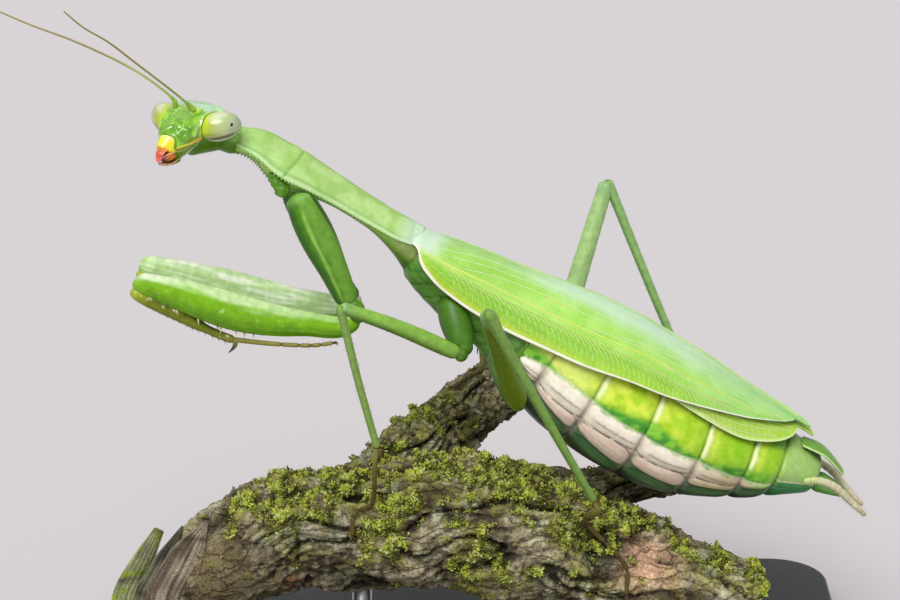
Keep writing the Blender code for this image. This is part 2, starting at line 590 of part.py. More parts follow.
def make_walking_leg(name, leg, bark, trunk):
    """Coxa, femur, tibia and tarsus of a middle or hind leg."""
    hip, knee, ankle = [Vector(p) for p in leg["hip"]], Vector(leg["knee"]), Vector(leg["ankle"])
    first, middle, last = leg["coxa"]
    coxa = limb(name + "_coxa", "leg", hip, [(0.0, first), (0.45, middle), (1.0, last)], flat=0.85, sides=8,
                rings=4)
    trim(coxa, *trunk)
    thick, thin = leg["femur"]
    start = hip[-1] + (knee - hip[-1]).normalized() * (last * 0.9)
    bow = (start + knee) / 2 + Vector((0, 0, 0.25))
    femur = limb(name + "_femur", "leg", [start, bow, knee], [(0.0, thick), (0.3, thick * 1.05), (1.0, thin)],
                 flat=0.8, across=(0, -1, 0.2), sides=8, rings=4)
    trim(femur, coxa)
    thick, thin = leg["tibia"]
    bow = (knee + ankle) / 2 + Vector((-0.15, 0, 0.1))
    tibia = limb(name + "_tibia", "leg", [knee + (ankle - knee).normalized() * 0.25, bow, ankle],
                 [(0.0, thick * 1.15), (0.15, thick), (1.0, thin)], sides=6, rings=4)
    trim(tibia, femur)
    foot = resting(bark, leg["foot"], FOOT_RADIUS + GAP)
    start = ankle + (Vector(foot[0]) - ankle).normalized() * (thin + GAP * 0.5)
    tarsus = limb(name + "_tarsus", "leg", [start] + foot, [(0.0, 0.3), (0.4, FOOT_RADIUS), (1.0, 0.25)], sides=6,
                  rings=9)
    trim(tarsus, tibia)
    return tarsus


def main():
    """Builds every part."""
    clear_scene()
    limbs = make_perch()
    bark = surface_of(*limbs)
    make_stand(limbs[0])
    trunk = make_trunk()
    make_tail(trunk["abdomen_ring_7"])
    shield, under = make_prothorax()
    trim(under, trunk["mesothorax"])
    trim(shield, trunk["mesothorax"])
    forewings = make_wings()
    for forewing in forewings:
        trim(forewing, shield, under, trunk["mesothorax"])
    capsule, eyes = make_head()
    make_neck(capsule, eyes)
    for side in (-1, 1):
        make_foreleg(side, under, shield)
    near = {"mid": [trunk["mesothorax"], trunk["metathorax"], *forewings],
            "hin": [trunk["metathorax"], trunk["abdomen_ring_1"], trunk["abdomen_ring_2"]]}
    for name, leg in WALKING_LEGS.items():
        tarsus = make_walking_leg(name, leg, bark, near[name[:3]])
        trim(tarsus, *limbs)


main()
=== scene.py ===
"""The looks of a life-size praying mantis that grips a short mossy branch on a plain display stand.

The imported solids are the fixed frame. Each class makes one sub-assembly in that frame, in millimetres, and its
meshes are turned to metres as they are made. The animal faces -X, its left side is towards -Y and +Z is up.
A plate or limb is a lofted shell: rows run along it and columns run round it, and at every vertex a relief in
millimetres and a tint are worked out from the place on the plate.
"""

import logging
import math
from dataclasses import dataclass, field
from enum import Enum
from typing import Callable, Iterable, Sequence

import bpy
import numpy as np
from bpy.types import Material, Mesh, Node, NodeSocket, NodeTree, Object
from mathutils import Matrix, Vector, noise
from mathutils.bvhtree import BVHTree

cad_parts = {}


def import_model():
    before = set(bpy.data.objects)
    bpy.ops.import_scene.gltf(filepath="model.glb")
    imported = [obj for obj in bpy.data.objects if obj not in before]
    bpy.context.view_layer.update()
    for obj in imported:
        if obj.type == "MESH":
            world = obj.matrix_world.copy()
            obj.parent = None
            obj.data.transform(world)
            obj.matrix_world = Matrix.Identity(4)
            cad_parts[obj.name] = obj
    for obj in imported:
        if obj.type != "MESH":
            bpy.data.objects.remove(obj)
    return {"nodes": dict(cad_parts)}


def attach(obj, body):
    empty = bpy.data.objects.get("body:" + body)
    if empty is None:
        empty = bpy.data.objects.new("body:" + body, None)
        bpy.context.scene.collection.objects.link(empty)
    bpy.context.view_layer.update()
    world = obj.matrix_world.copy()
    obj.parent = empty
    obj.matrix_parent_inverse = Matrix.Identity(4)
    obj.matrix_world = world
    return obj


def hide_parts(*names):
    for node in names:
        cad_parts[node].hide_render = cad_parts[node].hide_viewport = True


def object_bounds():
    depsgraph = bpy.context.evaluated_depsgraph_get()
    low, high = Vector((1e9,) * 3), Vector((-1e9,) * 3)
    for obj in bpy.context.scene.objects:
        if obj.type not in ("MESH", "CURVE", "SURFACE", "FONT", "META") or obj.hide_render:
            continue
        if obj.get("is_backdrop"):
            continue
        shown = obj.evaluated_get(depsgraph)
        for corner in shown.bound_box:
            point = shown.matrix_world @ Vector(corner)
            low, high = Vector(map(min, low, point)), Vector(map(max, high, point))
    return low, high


Array = np.ndarray
Stops = Sequence[tuple[float, ...]]
Place = Sequence[float]

MM = 0.001
ROLL = math.radians(11.0)  # the trunk leans to its left
HEAD_YAW = math.radians(58.0)  # the head is turned to the left
HEAD_PITCH = math.radians(42.0)  # and its face looks up
HEAD_CENTRE = np.array([-29.05, -2.6, 59.5])
HORN = "#4A3016"  # the tone of all claws
PAINT = "#34373A"  # of the stand's plate
STEEL = "#C9CACC"  # of its rods


# ---------------------------------------------------------------- colours and curves


def linear(code: str) -> Array:
    """Turns an sRGB hex colour to linear light.

    Args:
        code: Six hex digits after a hash.

    Returns:
        Red, green and blue from 0 to 1.
    """
    share = np.array([int(code[i:i + 2], 16) / 255 for i in (1, 3, 5)])
    return np.where(share <= 0.04045, share / 12.92, ((share + 0.055) / 1.055) ** 2.4)


class Side(Enum):
    """The animal's two sides; the value is positive where it grows to the left."""

    LEFT = 1.0
    RIGHT = -1.0

    @property
    def word(self) -> str:
        """The side as it stands in names."""
        return self.name.lower()


def smooth(stops: Stops, t: Array) -> Array:
    """Reads a smooth value between stops.

    Args:
        stops: Places with one or more values at each, in rising order.
        t: Where to read.

    Returns:
        The value at each t, or a row of values where the stops hold several.
    """
    table = np.array(stops, float)
    at, values = table[:, 0], table[:, 1:]
    after = np.minimum(np.arange(len(at)) + 1, len(at) - 1)
    before = np.maximum(np.arange(len(at)) - 1, 0)
    slope = (values[after] - values[before]) / (at[after] - at[before])[:, None]
    t = np.clip(np.asarray(t, float), at[0], at[-1])
    i = np.clip(np.searchsorted(at, t, side="right") - 1, 0, len(at) - 2)
    width = (at[i + 1] - at[i])[..., None]
    k = (t - at[i])[..., None] / width
    found = ((2 * k**3 - 3 * k**2 + 1) * values[i] + (k**3 - 2 * k**2 + k) * width * slope[i]
             + (3 * k**2 - 2 * k**3) * values[i + 1] + (k**3 - k**2) * width * slope[i + 1])
    return found[..., 0] if values.shape[1] == 1 else found


def ease(low: float | Array, high: float | Array, x: Array) -> Array:
    """Rises smoothly from 0 at low to 1 at high, and falls where low is above high."""
    k = np.clip((x - low) / (high - low), 0.0, 1.0)
    return k * k * (3 - 2 * k)


def hump(x: Array, middle: float | Array, width: float) -> Array:
    """A rounded hump of height 1 around the middle."""
    return np.exp(-(((x - middle) / width) ** 2))


def mix(first: Array | str, second: Array | str, share: Array | float) -> Array:
    """Blends two colours, given as hex codes or in linear light, by a share for each vertex."""
    first, second = (linear(one) if isinstance(one, str) else one for one in (first, second))
    share = np.asarray(share)[..., None]
    return first * (1 - share) + second * share


def coats(ground: Array | str, *layers: tuple[Array | str, Array]) -> Array:
    """Lays colours over a ground one after another, each by its share at every vertex."""
    for colour, share in layers:
        ground = mix(ground, colour, share)
    return ground


def unit(vectors: Array) -> Array:
    """Vectors brought to length 1."""
    return vectors / np.maximum(np.linalg.norm(vectors, axis=-1, keepdims=True), 1e-9)


def grain(points: Array, size: float, seed: int = 0) -> Array:
    """Soft random relief over places.

    Args:
        points: Places in millimetres, the last axis holding x, y and z.
        size: Width of one lump in millimetres.
        seed: Shifts the pattern.

    Returns:
        A value from about -1 to 1 for each place.
    """
    flat = points.reshape(-1, 3) / size + seed * 17.3
    return np.array([noise.noise(Vector(p)) for p in flat]).reshape(points.shape[:-1])


@dataclass
class Line:
    """A smooth line through a few places, even in distance between them."""

    places: Sequence[Place]

    def __post_init__(self) -> None:
        """Marks each place by its share of the length."""
        corners = np.array(self.places, float)
        steps = np.linalg.norm(np.diff(corners, axis=0), axis=1)
        self.length = float(steps.sum())
        marks = np.concatenate([[0.0], np.cumsum(steps)]) / self.length
        self.stops = [(m, *p) for m, p in zip(marks, corners)]

    def at(self, t: Array) -> Array:
        """The places at t, 0 to 1."""
        return smooth(self.stops, t)

    def ahead(self, t: Array, reach: float = 0.02) -> Array:
        """The directions of the line at t."""
        t = np.asarray(t, float)
        return unit(self.at(np.minimum(t + reach, 1.0)) - self.at(np.maximum(t - reach, 0.0)))

    def frame(self, t: Array, across: Place) -> tuple[Array, Array, Array, Array]:
        """The places at t with their sideways, upward and forward directions.

        Args:
            t: Shares of the length.
            across: Roughly which way is sideways.

        Returns:
            Places, sideways, upward and forward directions.
        """
        ahead = self.ahead(t)
        across = np.broadcast_to(np.array(across, float), ahead.shape)
        side = unit(across - ahead * (across * ahead).sum(-1, keepdims=True))
        return self.at(t), side, np.cross(ahead, side), ahead


# ---------------------------------------------------------------- meshes


class Shells:
    """Collects closed shells in millimetres, with a tint at each vertex, and joins them into one mesh."""

    def __init__(self) -> None:
        """Starts empty."""
        self.points: list[Array] = []
        self.tints: list[Array] = []
        self.spreads: list[Array] = []
        self.faces: list[tuple[int, ...]] = []

    def loft(self, rows: Array, tints: Array | str, spread: Array | None = None) -> None:
        """Adds one shell through rows of points, closed by a middle point at each end.

        Args:
            rows: Points as rows by columns by 3; a row goes once round.
            tints: One colour, or a colour for each point.
            spread: Flat places of each point, for a finish that is laid out over the surface.
        """
        count, columns = rows.shape[:2]
        tints = linear(tints) if isinstance(tints, str) else tints
        index = np.arange(count * columns).reshape(count, columns)
        turned = np.roll(index, -1, axis=1)
        quads = np.stack([index[:-1], turned[:-1], turned[1:], index[1:]], -1).reshape(-1, 4)
        flat = self.capped(rows)
        first, last = count * columns, count * columns + 1
        faces = [*map(tuple, quads.tolist()),
                 *((b, a, first) for a, b in zip(index[0].tolist(), turned[0].tolist())),
                 *((a, b, last) for a, b in zip(index[-1].tolist(), turned[-1].tolist()))]
        a, b, c, d = (flat[quads[:, i]] - flat.mean(0) for i in range(4))
        if (np.cross(a, b) * c).sum() + (np.cross(a, c) * d).sum() < 0:
            faces = [face[::-1] for face in faces]
        before = sum(map(len, self.points))
        self.faces += [tuple(i + before for i in face) for face in faces]
        self.points.append(flat)
        self.tints.append(self.capped(np.broadcast_to(tints, rows.shape)))
        if spread is not None:
            self.spreads.append(self.capped(spread))

    def capped(self, rows: Array) -> Array:
        """The values of all rows one below the other, then the middle of the first row and of the last."""
        return np.concatenate([rows.reshape(-1, rows.shape[-1]), rows[0].mean(0)[None], rows[-1].mean(0)[None]])

    def piece(self, name: str, finish: Material, slot: str, *nodes: str) -> Object:
        """Makes the mesh of all shells and dresses it, as dress says."""
        mesh = bpy.data.meshes.new(name)
        mesh.from_pydata([tuple(p) for p in np.concatenate(self.points) * MM], [], self.faces)
        paint(mesh, np.concatenate(self.tints))
        if self.spreads:
            corners = np.empty(len(mesh.loops), np.int32)
            mesh.loops.foreach_get("vertex_index", corners)
            layer = mesh.uv_layers.new(name="spread")
            layer.uv.foreach_set("vector", np.concatenate(self.spreads)[corners].astype(np.float32).ravel())
        return dress(mesh, name, finish, slot, *nodes)


def opaque(tints: Array) -> Array:
    """Colours with a full fourth channel."""
    return np.column_stack([tints, np.ones(len(tints))]).astype(np.float32)


def paint(mesh: Mesh, tints: Array) -> None:
    """Stores a colour for each vertex under the name that the finishes read."""
    mesh.color_attributes.new("tint", "FLOAT_COLOR", "POINT").data.foreach_set("color", opaque(tints).ravel())


def dress(mesh: Mesh, name: str, finish: Material, slot: str, *nodes: str) -> Object:
    """Makes an object of a mesh, smooth shaded, and lets it ride on the root body.

    Args:
        mesh: The finished mesh, in metres.
        name: The object's name.
        finish: Its material.
        slot: The record's slot for its finish; not used.
        nodes: The solids that it replaces.

    Returns:
        The object.
    """
    if not mesh.materials:
        mesh.materials.append(finish)
    mesh.shade_smooth()
    made = link(name, mesh)
    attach(made, "root")
    if nodes:
        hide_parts(*nodes)
    logging.info("%s: %d faces", name, len(mesh.polygons))
    return made


def link(name: str, data: bpy.types.ID) -> Object:
    """Makes an object and puts it in the scene."""
    made = bpy.data.objects.new(name, data)
    bpy.context.scene.collection.objects.link(made)
    return made


Relief = Callable[[Array, Array], Array]
Painter = Callable[[Array, Array, Array], Array]


@dataclass
class Limb:
    """A tapered limb along a line, rounded at both ends."""

    places: Sequence[Place]
    depth: Stops
    flat: float = 1.0
    across: Place = (0.0, -1.0, 0.0)
    dome: tuple[float, float] = (1.0, 1.0)
    rows: int = 48
    columns: int = 28

    def marks(self) -> tuple[Array, Array]:
        """The shares of the length where rows lie, and the share of the full depth at each."""
        length = Line(self.places).length
        start, end = (self.depth[i][1] * self.dome[i] / length for i in (0, -1))
        turn = np.radians(np.linspace(8, 80, 6))
        t = np.concatenate([start * (1 - np.cos(turn)), np.linspace(start, 1 - end, self.rows),
                            1 - end * (1 - np.cos(turn[::-1]))])
        return t, np.concatenate([np.sin(turn), np.ones(self.rows), np.sin(turn[::-1])])

    def add_to(self, shells: Shells, painter: Painter | str, relief: Relief | None = None) -> Array:
        """Adds the limb to a mesh.

        Args:
            shells: The mesh it becomes part of.
            painter: One colour, or gives the tints from share of length, angle round and places.
            relief: Gives the height over the plain form from share of length and angle round.

        Returns:
            The rows of points.
        """
        t, share = self.marks()
        angle = np.linspace(0, 2 * np.pi, self.columns, endpoint=False)[None]
        centre, side, up, _ = Line(self.places).frame(t, self.across)
        t = t[:, None]
        depth = smooth(self.depth, t) * share[:, None]
        extra = (relief(t, angle) if relief else 0.0) * share[:, None]
        rows = (centre[:, None] + side[:, None] * ((depth * self.flat + extra) * np.cos(angle))[..., None]
                + up[:, None] * ((depth + extra) * np.sin(angle))[..., None])
        shells.loft(rows, painter if isinstance(painter, str) else painter(t, angle, rows))
        return rows


def along(first: Array | str, *stages: tuple[str, float, float]) -> Painter:
    """A painter that goes through colours along a limb, each with the shares where it starts and is full."""
    return lambda t, angle, rows: coats(first, *((code, ease(low, high, t)) for code, low, high in stages))


# ---------------------------------------------------------------- finishes


def add(tree: NodeTree, kind: str, *values, **named) -> Node:
    """Adds a node with its settings and links.

    Args:
        tree: The node tree.
        kind: The node's type.
        values: Its first inputs in order: a value, a socket, or a node that stands for its first output.
        named: Its own options in lower case, and more inputs by name, with _ for a blank.

    Returns:
        The node.
    """
    made = tree.nodes.new(kind)
    for key in [key for key in named if key.islower()]:
        setattr(made, key, named.pop(key))
    for key, value in [*enumerate(values), *((key.replace("_", " "), value) for key, value in named.items())]:
        plug(tree, made.inputs[key], value)
    return made


def plug(tree: NodeTree, socket: NodeSocket, value: Node | NodeSocket | float | tuple) -> None:
    """Links a socket to a node's first output or to another socket, or sets it to a value."""
    if isinstance(value, Node):
        value = value.outputs[0]
    if isinstance(value, NodeSocket):
        tree.links.new(value, socket)
    else:
        socket.default_value = value


class Bench:
    """One material in the making: its tree, its shader, and the place on the piece that patterns read."""

    def __init__(self, name: str) -> None:
        """Starts a material."""
        self.made = bpy.data.materials.new(name)
        self.made.use_nodes = True
        self.tree = self.made.node_tree
        self.place = self.add("TexCoord").outputs["Object"]

    def add(self, kind: str, *values, **named) -> Node:
        """Adds a shader node, as add says."""
        return add(self.tree, "ShaderNode" + kind, *values, **named)

    def blotched(self, size: float, share: float) -> tuple[Node, Node]:
        """The mesh's tint, lighter and darker in soft blotches of a width in mm, and the blotches."""
        blotch = self.add("TexNoise", self.place, Scale=1 / (size * MM), Detail=4.0)
        level = self.add("MapRange", blotch, 0.3, 0.7, 1 - share, 1 + share)
        tint = self.add("Attribute", attribute_name="tint")
        return self.add("VectorMath", tint, Scale=level, operation="SCALE"), blotch

    def close(self, **inputs) -> Material:
        """Sets or plugs the shader's inputs, by name with _ for a blank, and gives the material."""
        for key, value in inputs.items():
            plug(self.tree, self.tree.nodes["Principled BSDF"].inputs[key.replace("_", " ")], value)
        return self.made


@dataclass(frozen=True)
class Cuticle:
    """Waxy insect cuticle, painted by the mesh: a satin skin with fine mottling and shallow pits, in mm."""

    name: str
    roughness: float = 0.4
    pit: float = 0.12
    pit_depth: float = 0.012
    mottle: float = 0.7
    mottle_share: float = 0.16
    glow: float = 0.2
    coat: float = 0.0
    shine: float = 0.35

    def make(self) -> Material:
        """Builds the material: light that sinks in a little gives a living look, wax gives the soft shine."""
        bench = Bench(self.name)
        colour, blotch = bench.blotched(self.mottle, self.mottle_share)
        pits = bench.add("TexVoronoi", bench.place, Scale=1 / (self.pit * MM))
        rough = bench.add("MapRange", blotch, 0.3, 0.7, self.roughness - 0.06, self.roughness + 0.08)
        bump = bench.add("Bump", Height=pits, Strength=0.5, Distance=self.pit_depth * MM)
        return bench.close(Base_Color=colour, Roughness=rough, Normal=bump, Subsurface_Weight=self.glow,
                           Subsurface_Radius=(0.5, 1.0, 0.3), Subsurface_Scale=0.8 * MM, Coat_Weight=self.coat,
                           Coat_Roughness=0.1, Specular_IOR_Level=self.shine, IOR=1.5)


@dataclass(frozen=True)
class EyeGlaze:
    """The clear smooth lens skin of a compound eye over its painted depth."""

    name: str = "mantis_compound_eye"
    facet: float = 0.05  # real facets are about 0.03 mm; drawn a little coarser so that they soften the shine

    def make(self) -> Material:
        """Builds the material: a glossy coat over a soft glowing body."""
        bench = Bench(self.name)
        facets = bench.add("TexVoronoi", bench.place, Scale=1 / (self.facet * MM))
        bump = bench.add("Bump", Height=facets, Strength=0.12, Distance=0.01 * MM)
        return bench.close(Base_Color=bench.blotched(0.5, 0.04)[0], Normal=bump, Roughness=0.28,
                           Subsurface_Weight=0.3, Subsurface_Radius=(1.0, 1.0, 0.5), Subsurface_Scale=0.4 * MM,
                           Coat_Weight=0.7, Coat_Roughness=0.14, IOR=1.5)


@dataclass(frozen=True)
class WingMembrane:
    """Leathery green wing: a fine net of veinlets, laid out along the wing, over a satin skin."""

    name: str = "mantis_wing_membrane"
    cell: tuple[float, float] = (0.62, 0.34)  # along and across the wing, in mm
    net_share: float = 0.2

    def make(self) -> Material:
        """Builds the material: paler raised veinlets round small sunk cells, as leaf skin shows."""
        bench = Bench(self.name)
        spread = bench.add("UVMap", uv_map="spread")
        cells = bench.add("Mapping", spread, Scale=(100 / self.cell[0], 100 / self.cell[1], 1))
        net = bench.add("TexVoronoi", cells, Scale=1.0, Randomness=0.85, feature="DISTANCE_TO_EDGE",
                        voronoi_dimensions="2D")
        line = bench.add("MapRange", net, 0.02, 0.14, 1.0, 0.0, interpolation_type="SMOOTHSTEP")
        share = bench.add("Math", line, self.net_share, operation="MULTIPLY")
        paler = bench.add("Mix", Factor=share, A=bench.blotched(1.2, 0.06)[0], B=(*linear("#DCF2A0"), 1.0),
                          data_type="RGBA")
        bump = bench.add("Bump", Height=line, Strength=0.4, Distance=0.025 * MM)
        return bench.close(Base_Color=paler.outputs["Result"], Normal=bump, Roughness=0.42, Subsurface_Weight=0.25,
                           Subsurface_Radius=(0.4, 1.0, 0.2), Subsurface_Scale=0.3 * MM, Specular_IOR_Level=0.3,
                           IOR=1.45)


@dataclass(frozen=True)
class Bark:
    """Old weathered bark, painted by the mesh: dry, furrowed and gritty."""

    name: str = "weathered_bark"
    grit: float = 0.3  # mm
    crack: float = 1.5  # mm between fine cracks

    def make(self) -> Material:
        """Builds the material: dark hair cracks and pale grit give the eye dry layered cork."""
        bench = Bench(self.name)
        colour, _ = bench.blotched(1.6, 0.22)
        bent = bench.add("TexNoise", bench.place, Scale=1 / (1.6 * MM), Detail=3.0)
        moved = bench.add("VectorMath", bent.outputs["Color"], Scale=1.5 * MM, operation="SCALE")
        warped = bench.add("VectorMath", bench.place, moved)
        longer = bench.add("Mapping", warped, Scale=(0.3, 1.0, 1.0))
        cracks = bench.add("TexVoronoi", longer, Scale=1 / (self.crack * MM), feature="DISTANCE_TO_EDGE")
        split = bench.add("MapRange", cracks, From_Max=0.07)
        grit = bench.add("TexNoise", bench.place, Scale=1 / (self.grit * MM), Detail=6.0, Roughness=0.7)
        level = bench.add("MapRange", grit, 0.32, 0.68, 0.4, 1.7)
        dark = bench.add("MapRange", split, To_Min=0.42, To_Max=1.0)
        both = bench.add("Math", level, dark, operation="MULTIPLY")
        worn = bench.add("VectorMath", colour, Scale=both, operation="SCALE")
        low = bench.add("Math", split, 0.7, operation="MULTIPLY")
        height = bench.add("Math", grit, low, operation="ADD")
        bump = bench.add("Bump", Height=height, Strength=1.0, Distance=0.16 * MM)
        return bench.close(Base_Color=worn, Normal=bump, Roughness=0.9, Specular_IOR_Level=0.2)


@dataclass(frozen=True)
class MossLeaf:
    """Small moss leaves, painted by the mesh."""

    name: str = "dry_moss"

    def make(self) -> Material:
        """Builds the material: thin leaves that glow a little and have no shine."""
        bench = Bench(self.name)
        return bench.close(Base_Color=bench.blotched(0.7, 0.3)[0], Roughness=0.8, Subsurface_Weight=0.2,
                           Subsurface_Scale=0.3 * MM, Specular_IOR_Level=0.15)


@dataclass(frozen=True)
class PaintedSteel:
    """Powder-coated steel plate: a fine even orange-peel skin."""

    name: str = "powder_coated_steel"
    peel: float = 0.6  # mm

    def make(self) -> Material:
        """Builds the material: the soft peel breaks up the shine of the dark plate."""
        bench = Bench(self.name)
        peel = bench.add("TexNoise", bench.place, Scale=1 / (self.peel * MM), Detail=2.0)
        rough = bench.add("MapRange", peel, To_Min=0.38, To_Max=0.5)
        bump = bench.add("Bump", Height=peel, Strength=0.2, Distance=0.03 * MM)
        return bench.close(Base_Color=(*linear(PAINT), 1.0), Roughness=rough, Normal=bump)


@dataclass(frozen=True)
class BrushedSteel:
    """Turned stainless rod with fine rings left by the tool."""

    name: str = "brushed_steel"
    ring: float = 0.25  # mm; real tool marks are finer, drawn coarser to show

    def make(self) -> Material:
        """Builds the material: the rings spread the reflections along the rod."""
        bench = Bench(self.name)
        rings = bench.add("Mapping", bench.place, Scale=(0.1, 0.1, 1.0))
        marks = bench.add("TexNoise", rings, Scale=1 / (self.ring * MM))
        rough = bench.add("MapRange", marks, To_Min=0.2, To_Max=0.42)
        return bench.close(Base_Color=(*linear(STEEL), 1.0), Metallic=1.0, Roughness=rough)


@dataclass(frozen=True)
class StudioPaper:
    """The matt pale paper that the floor is made of."""

    name: str = "pale_paper"

    def make(self) -> Material:
        """Builds the material: even and matt, with barely seen fibre."""
        bench = Bench(self.name)
        fibre = bench.add("TexNoise", bench.place, Scale=1 / (4 * MM), Detail=3.0)
        bump = bench.add("Bump", Height=fibre, Strength=0.05, Distance=0.1 * MM)
        return bench.close(Base_Color=(*linear("#D8D3D5"), 1.0), Normal=bump, Roughness=0.95, Specular_IOR_Level=0.1)


# ---------------------------------------------------------------- growths made by Geometry Nodes


class Growth:
    """A Geometry Nodes tree with named inputs; it is run on marked places and the result kept as a plain mesh."""

    def __init__(self, name: str, **inputs: str) -> None:
        """Makes the empty tree with inputs of the given kinds, and one for the finish."""
        self.tree = bpy.data.node_groups.new(name, "GeometryNodeTree")
        for label, kind in {"Geometry": "Geometry", **inputs, "Finish": "Material"}.items():
            self.tree.interface.new_socket(label, in_out="INPUT", socket_type="NodeSocket" + kind)
        self.tree.interface.new_socket("Geometry", in_out="OUTPUT", socket_type="NodeSocketGeometry")
        self.inputs = add(self.tree, "NodeGroupInput").outputs

    def add(self, kind: str, *values, **named) -> Node:
        """Adds a geometry node, as add says."""
        return add(self.tree, "GeometryNode" + kind, *values, **named)

    def named(self, name: str, kind: str = "FLOAT") -> Node:
        """The values that the marked places store under a name."""
        return self.add("InputNamedAttribute", name, data_type=kind)

    def close(self, geometry: Node) -> None:
        """Realizes the instances, sets the finish and ends the tree."""
        smoothed = self.add("SetShadeSmooth", self.add("RealizeInstances", geometry))
        add(self.tree, "NodeGroupOutput", self.add("SetMaterial", smoothed, Material=self.inputs["Finish"]))

    def grow(self, marks: "Spots | Strands", name: str, finish: Material, slot: str, *nodes: str,
             **shape: float) -> Object:
        """Grows one piece.

        Args:
            marks: Where it grows.
            name: The piece's name.
            finish: Its material.
            slot: The record's slot.
            nodes: The solids that it replaces.
            shape: The tree's other inputs, by name.

        Returns:
            The object.
        """
        holder = link("seed", marks.mesh())
        step = holder.modifiers.new("growth", "NODES")
        step.node_group = self.tree
        for socket in self.tree.interface.items_tree:
            if socket.in_out == "INPUT" and socket.name != "Geometry":
                step[socket.identifier] = finish if socket.name == "Finish" else shape[socket.name]
        return dress(flattened(holder), name, finish, slot, *nodes)


def flattened(holder: Object) -> Mesh:
    """The plain mesh that an object's modifiers give; the object is removed."""
    graph = bpy.context.evaluated_depsgraph_get()
    made = bpy.data.meshes.new_from_object(holder.evaluated_get(graph), depsgraph=graph)
    bpy.data.objects.remove(holder, do_unlink=True)
    return made


def seeded(points: Array, edges: list[tuple[int, int]], **values: Array) -> Mesh:
    """A loose mesh of places in mm, with one value for each stored under a name."""
    mesh = bpy.data.meshes.new("seeds")
    mesh.from_pydata([tuple(p) for p in points * MM], edges, [])
    kinds = {1: ("FLOAT", "value"), 3: ("FLOAT_VECTOR", "vector"), 4: ("FLOAT_COLOR", "color")}
    for name, value in values.items():
        kind, key = kinds[value.size // len(points)]
        mesh.attributes.new(name, kind, "POINT").data.foreach_set(key, np.asarray(value, np.float32).ravel())
    return mesh


class Spikes(Growth):
    """Spines, teeth, hairs and warts: one small cone at each marked place, sized in shares of its length."""

    def __init__(self) -> None:
        """Builds the tree."""
        super().__init__("spikes", Width="Float", Tip="Float", Sides="Int", Steps="Int")
        inputs = self.inputs
        cone = self.add("MeshCone", Vertices=inputs["Sides"], Side_Segments=inputs["Steps"],
                        Radius_Top=inputs["Tip"], Radius_Bottom=inputs["Width"], Depth=1.0)
        turn = add(self.tree, "FunctionNodeAlignRotationToVector", Vector=self.named("aim", "FLOAT_VECTOR"), axis="Z")
        self.close(self.add("InstanceOnPoints", inputs["Geometry"], Instance=cone, Rotation=turn,
                            Scale=self.named("size")))


class Threads(Growth):
    """Veins, bristle lines and feelers: a round thread along each marked line."""

    def __init__(self) -> None:
        """Builds the tree."""
        super().__init__("threads", Sides="Int")
        lines = self.add("MeshToCurve", self.inputs["Geometry"])
        ring = self.add("CurvePrimitiveCircle", self.inputs["Sides"], Radius=MM)
        self.close(self.add("CurveToMesh", lines, ring, Scale=self.named("thick"), Fill_Caps=True))


class Spots:
    """Marked places with a direction, a length in millimetres and a tint, for spikes."""

    def __init__(self) -> None:
        """Starts empty."""
        self.rows: list[Array] = []

    def put(self, places: Array, aims: Array, sizes: float | Array, tints: Array | str) -> None:
        """Marks places.

        Args:
            places: One place in a row.
            aims: The direction of each spike.
            sizes: The length of each, or one for all.
            tints: The colour of each, or one for all.
        """
        count = len(places)
        tints = linear(tints) if isinstance(tints, str) else tints
        self.rows.append(np.column_stack([places, unit(np.broadcast_to(aims, (count, 3))),
                                          np.broadcast_to(sizes, count), np.broadcast_to(tints, (count, 3))]))

    def mesh(self) -> Mesh:
        """The seed mesh of loose places."""
        table = np.concatenate(self.rows)
        return seeded(table[:, :3], [], aim=table[:, 3:6], size=table[:, 6] * MM, tint=opaque(table[:, 7:]))


class Strands:
    """Marked lines with a radius and a tint at each place, for threads."""

    def __init__(self) -> None:
        """Starts empty."""
        self.rows: list[Array] = []
        self.edges: list[tuple[int, int]] = []

    def run(self, places: Array, thick: float | Array, tint: Array | str) -> None:
        """Adds one line with its radius and colour, at each place or for all."""
        tint, first = linear(tint) if isinstance(tint, str) else tint, sum(map(len, self.rows))
        self.rows.append(np.column_stack([places, np.broadcast_to(thick, len(places)),
                                          np.broadcast_to(tint, (len(places), 3))]))
        self.edges += [(first + i, first + i + 1) for i in range(len(places) - 1)]

    def mesh(self) -> Mesh:
        """The seed mesh of loose lines."""
        table = np.concatenate(self.rows)
        return seeded(table[:, :3], self.edges, thick=table[:, 3], tint=opaque(table[:, 4:]))


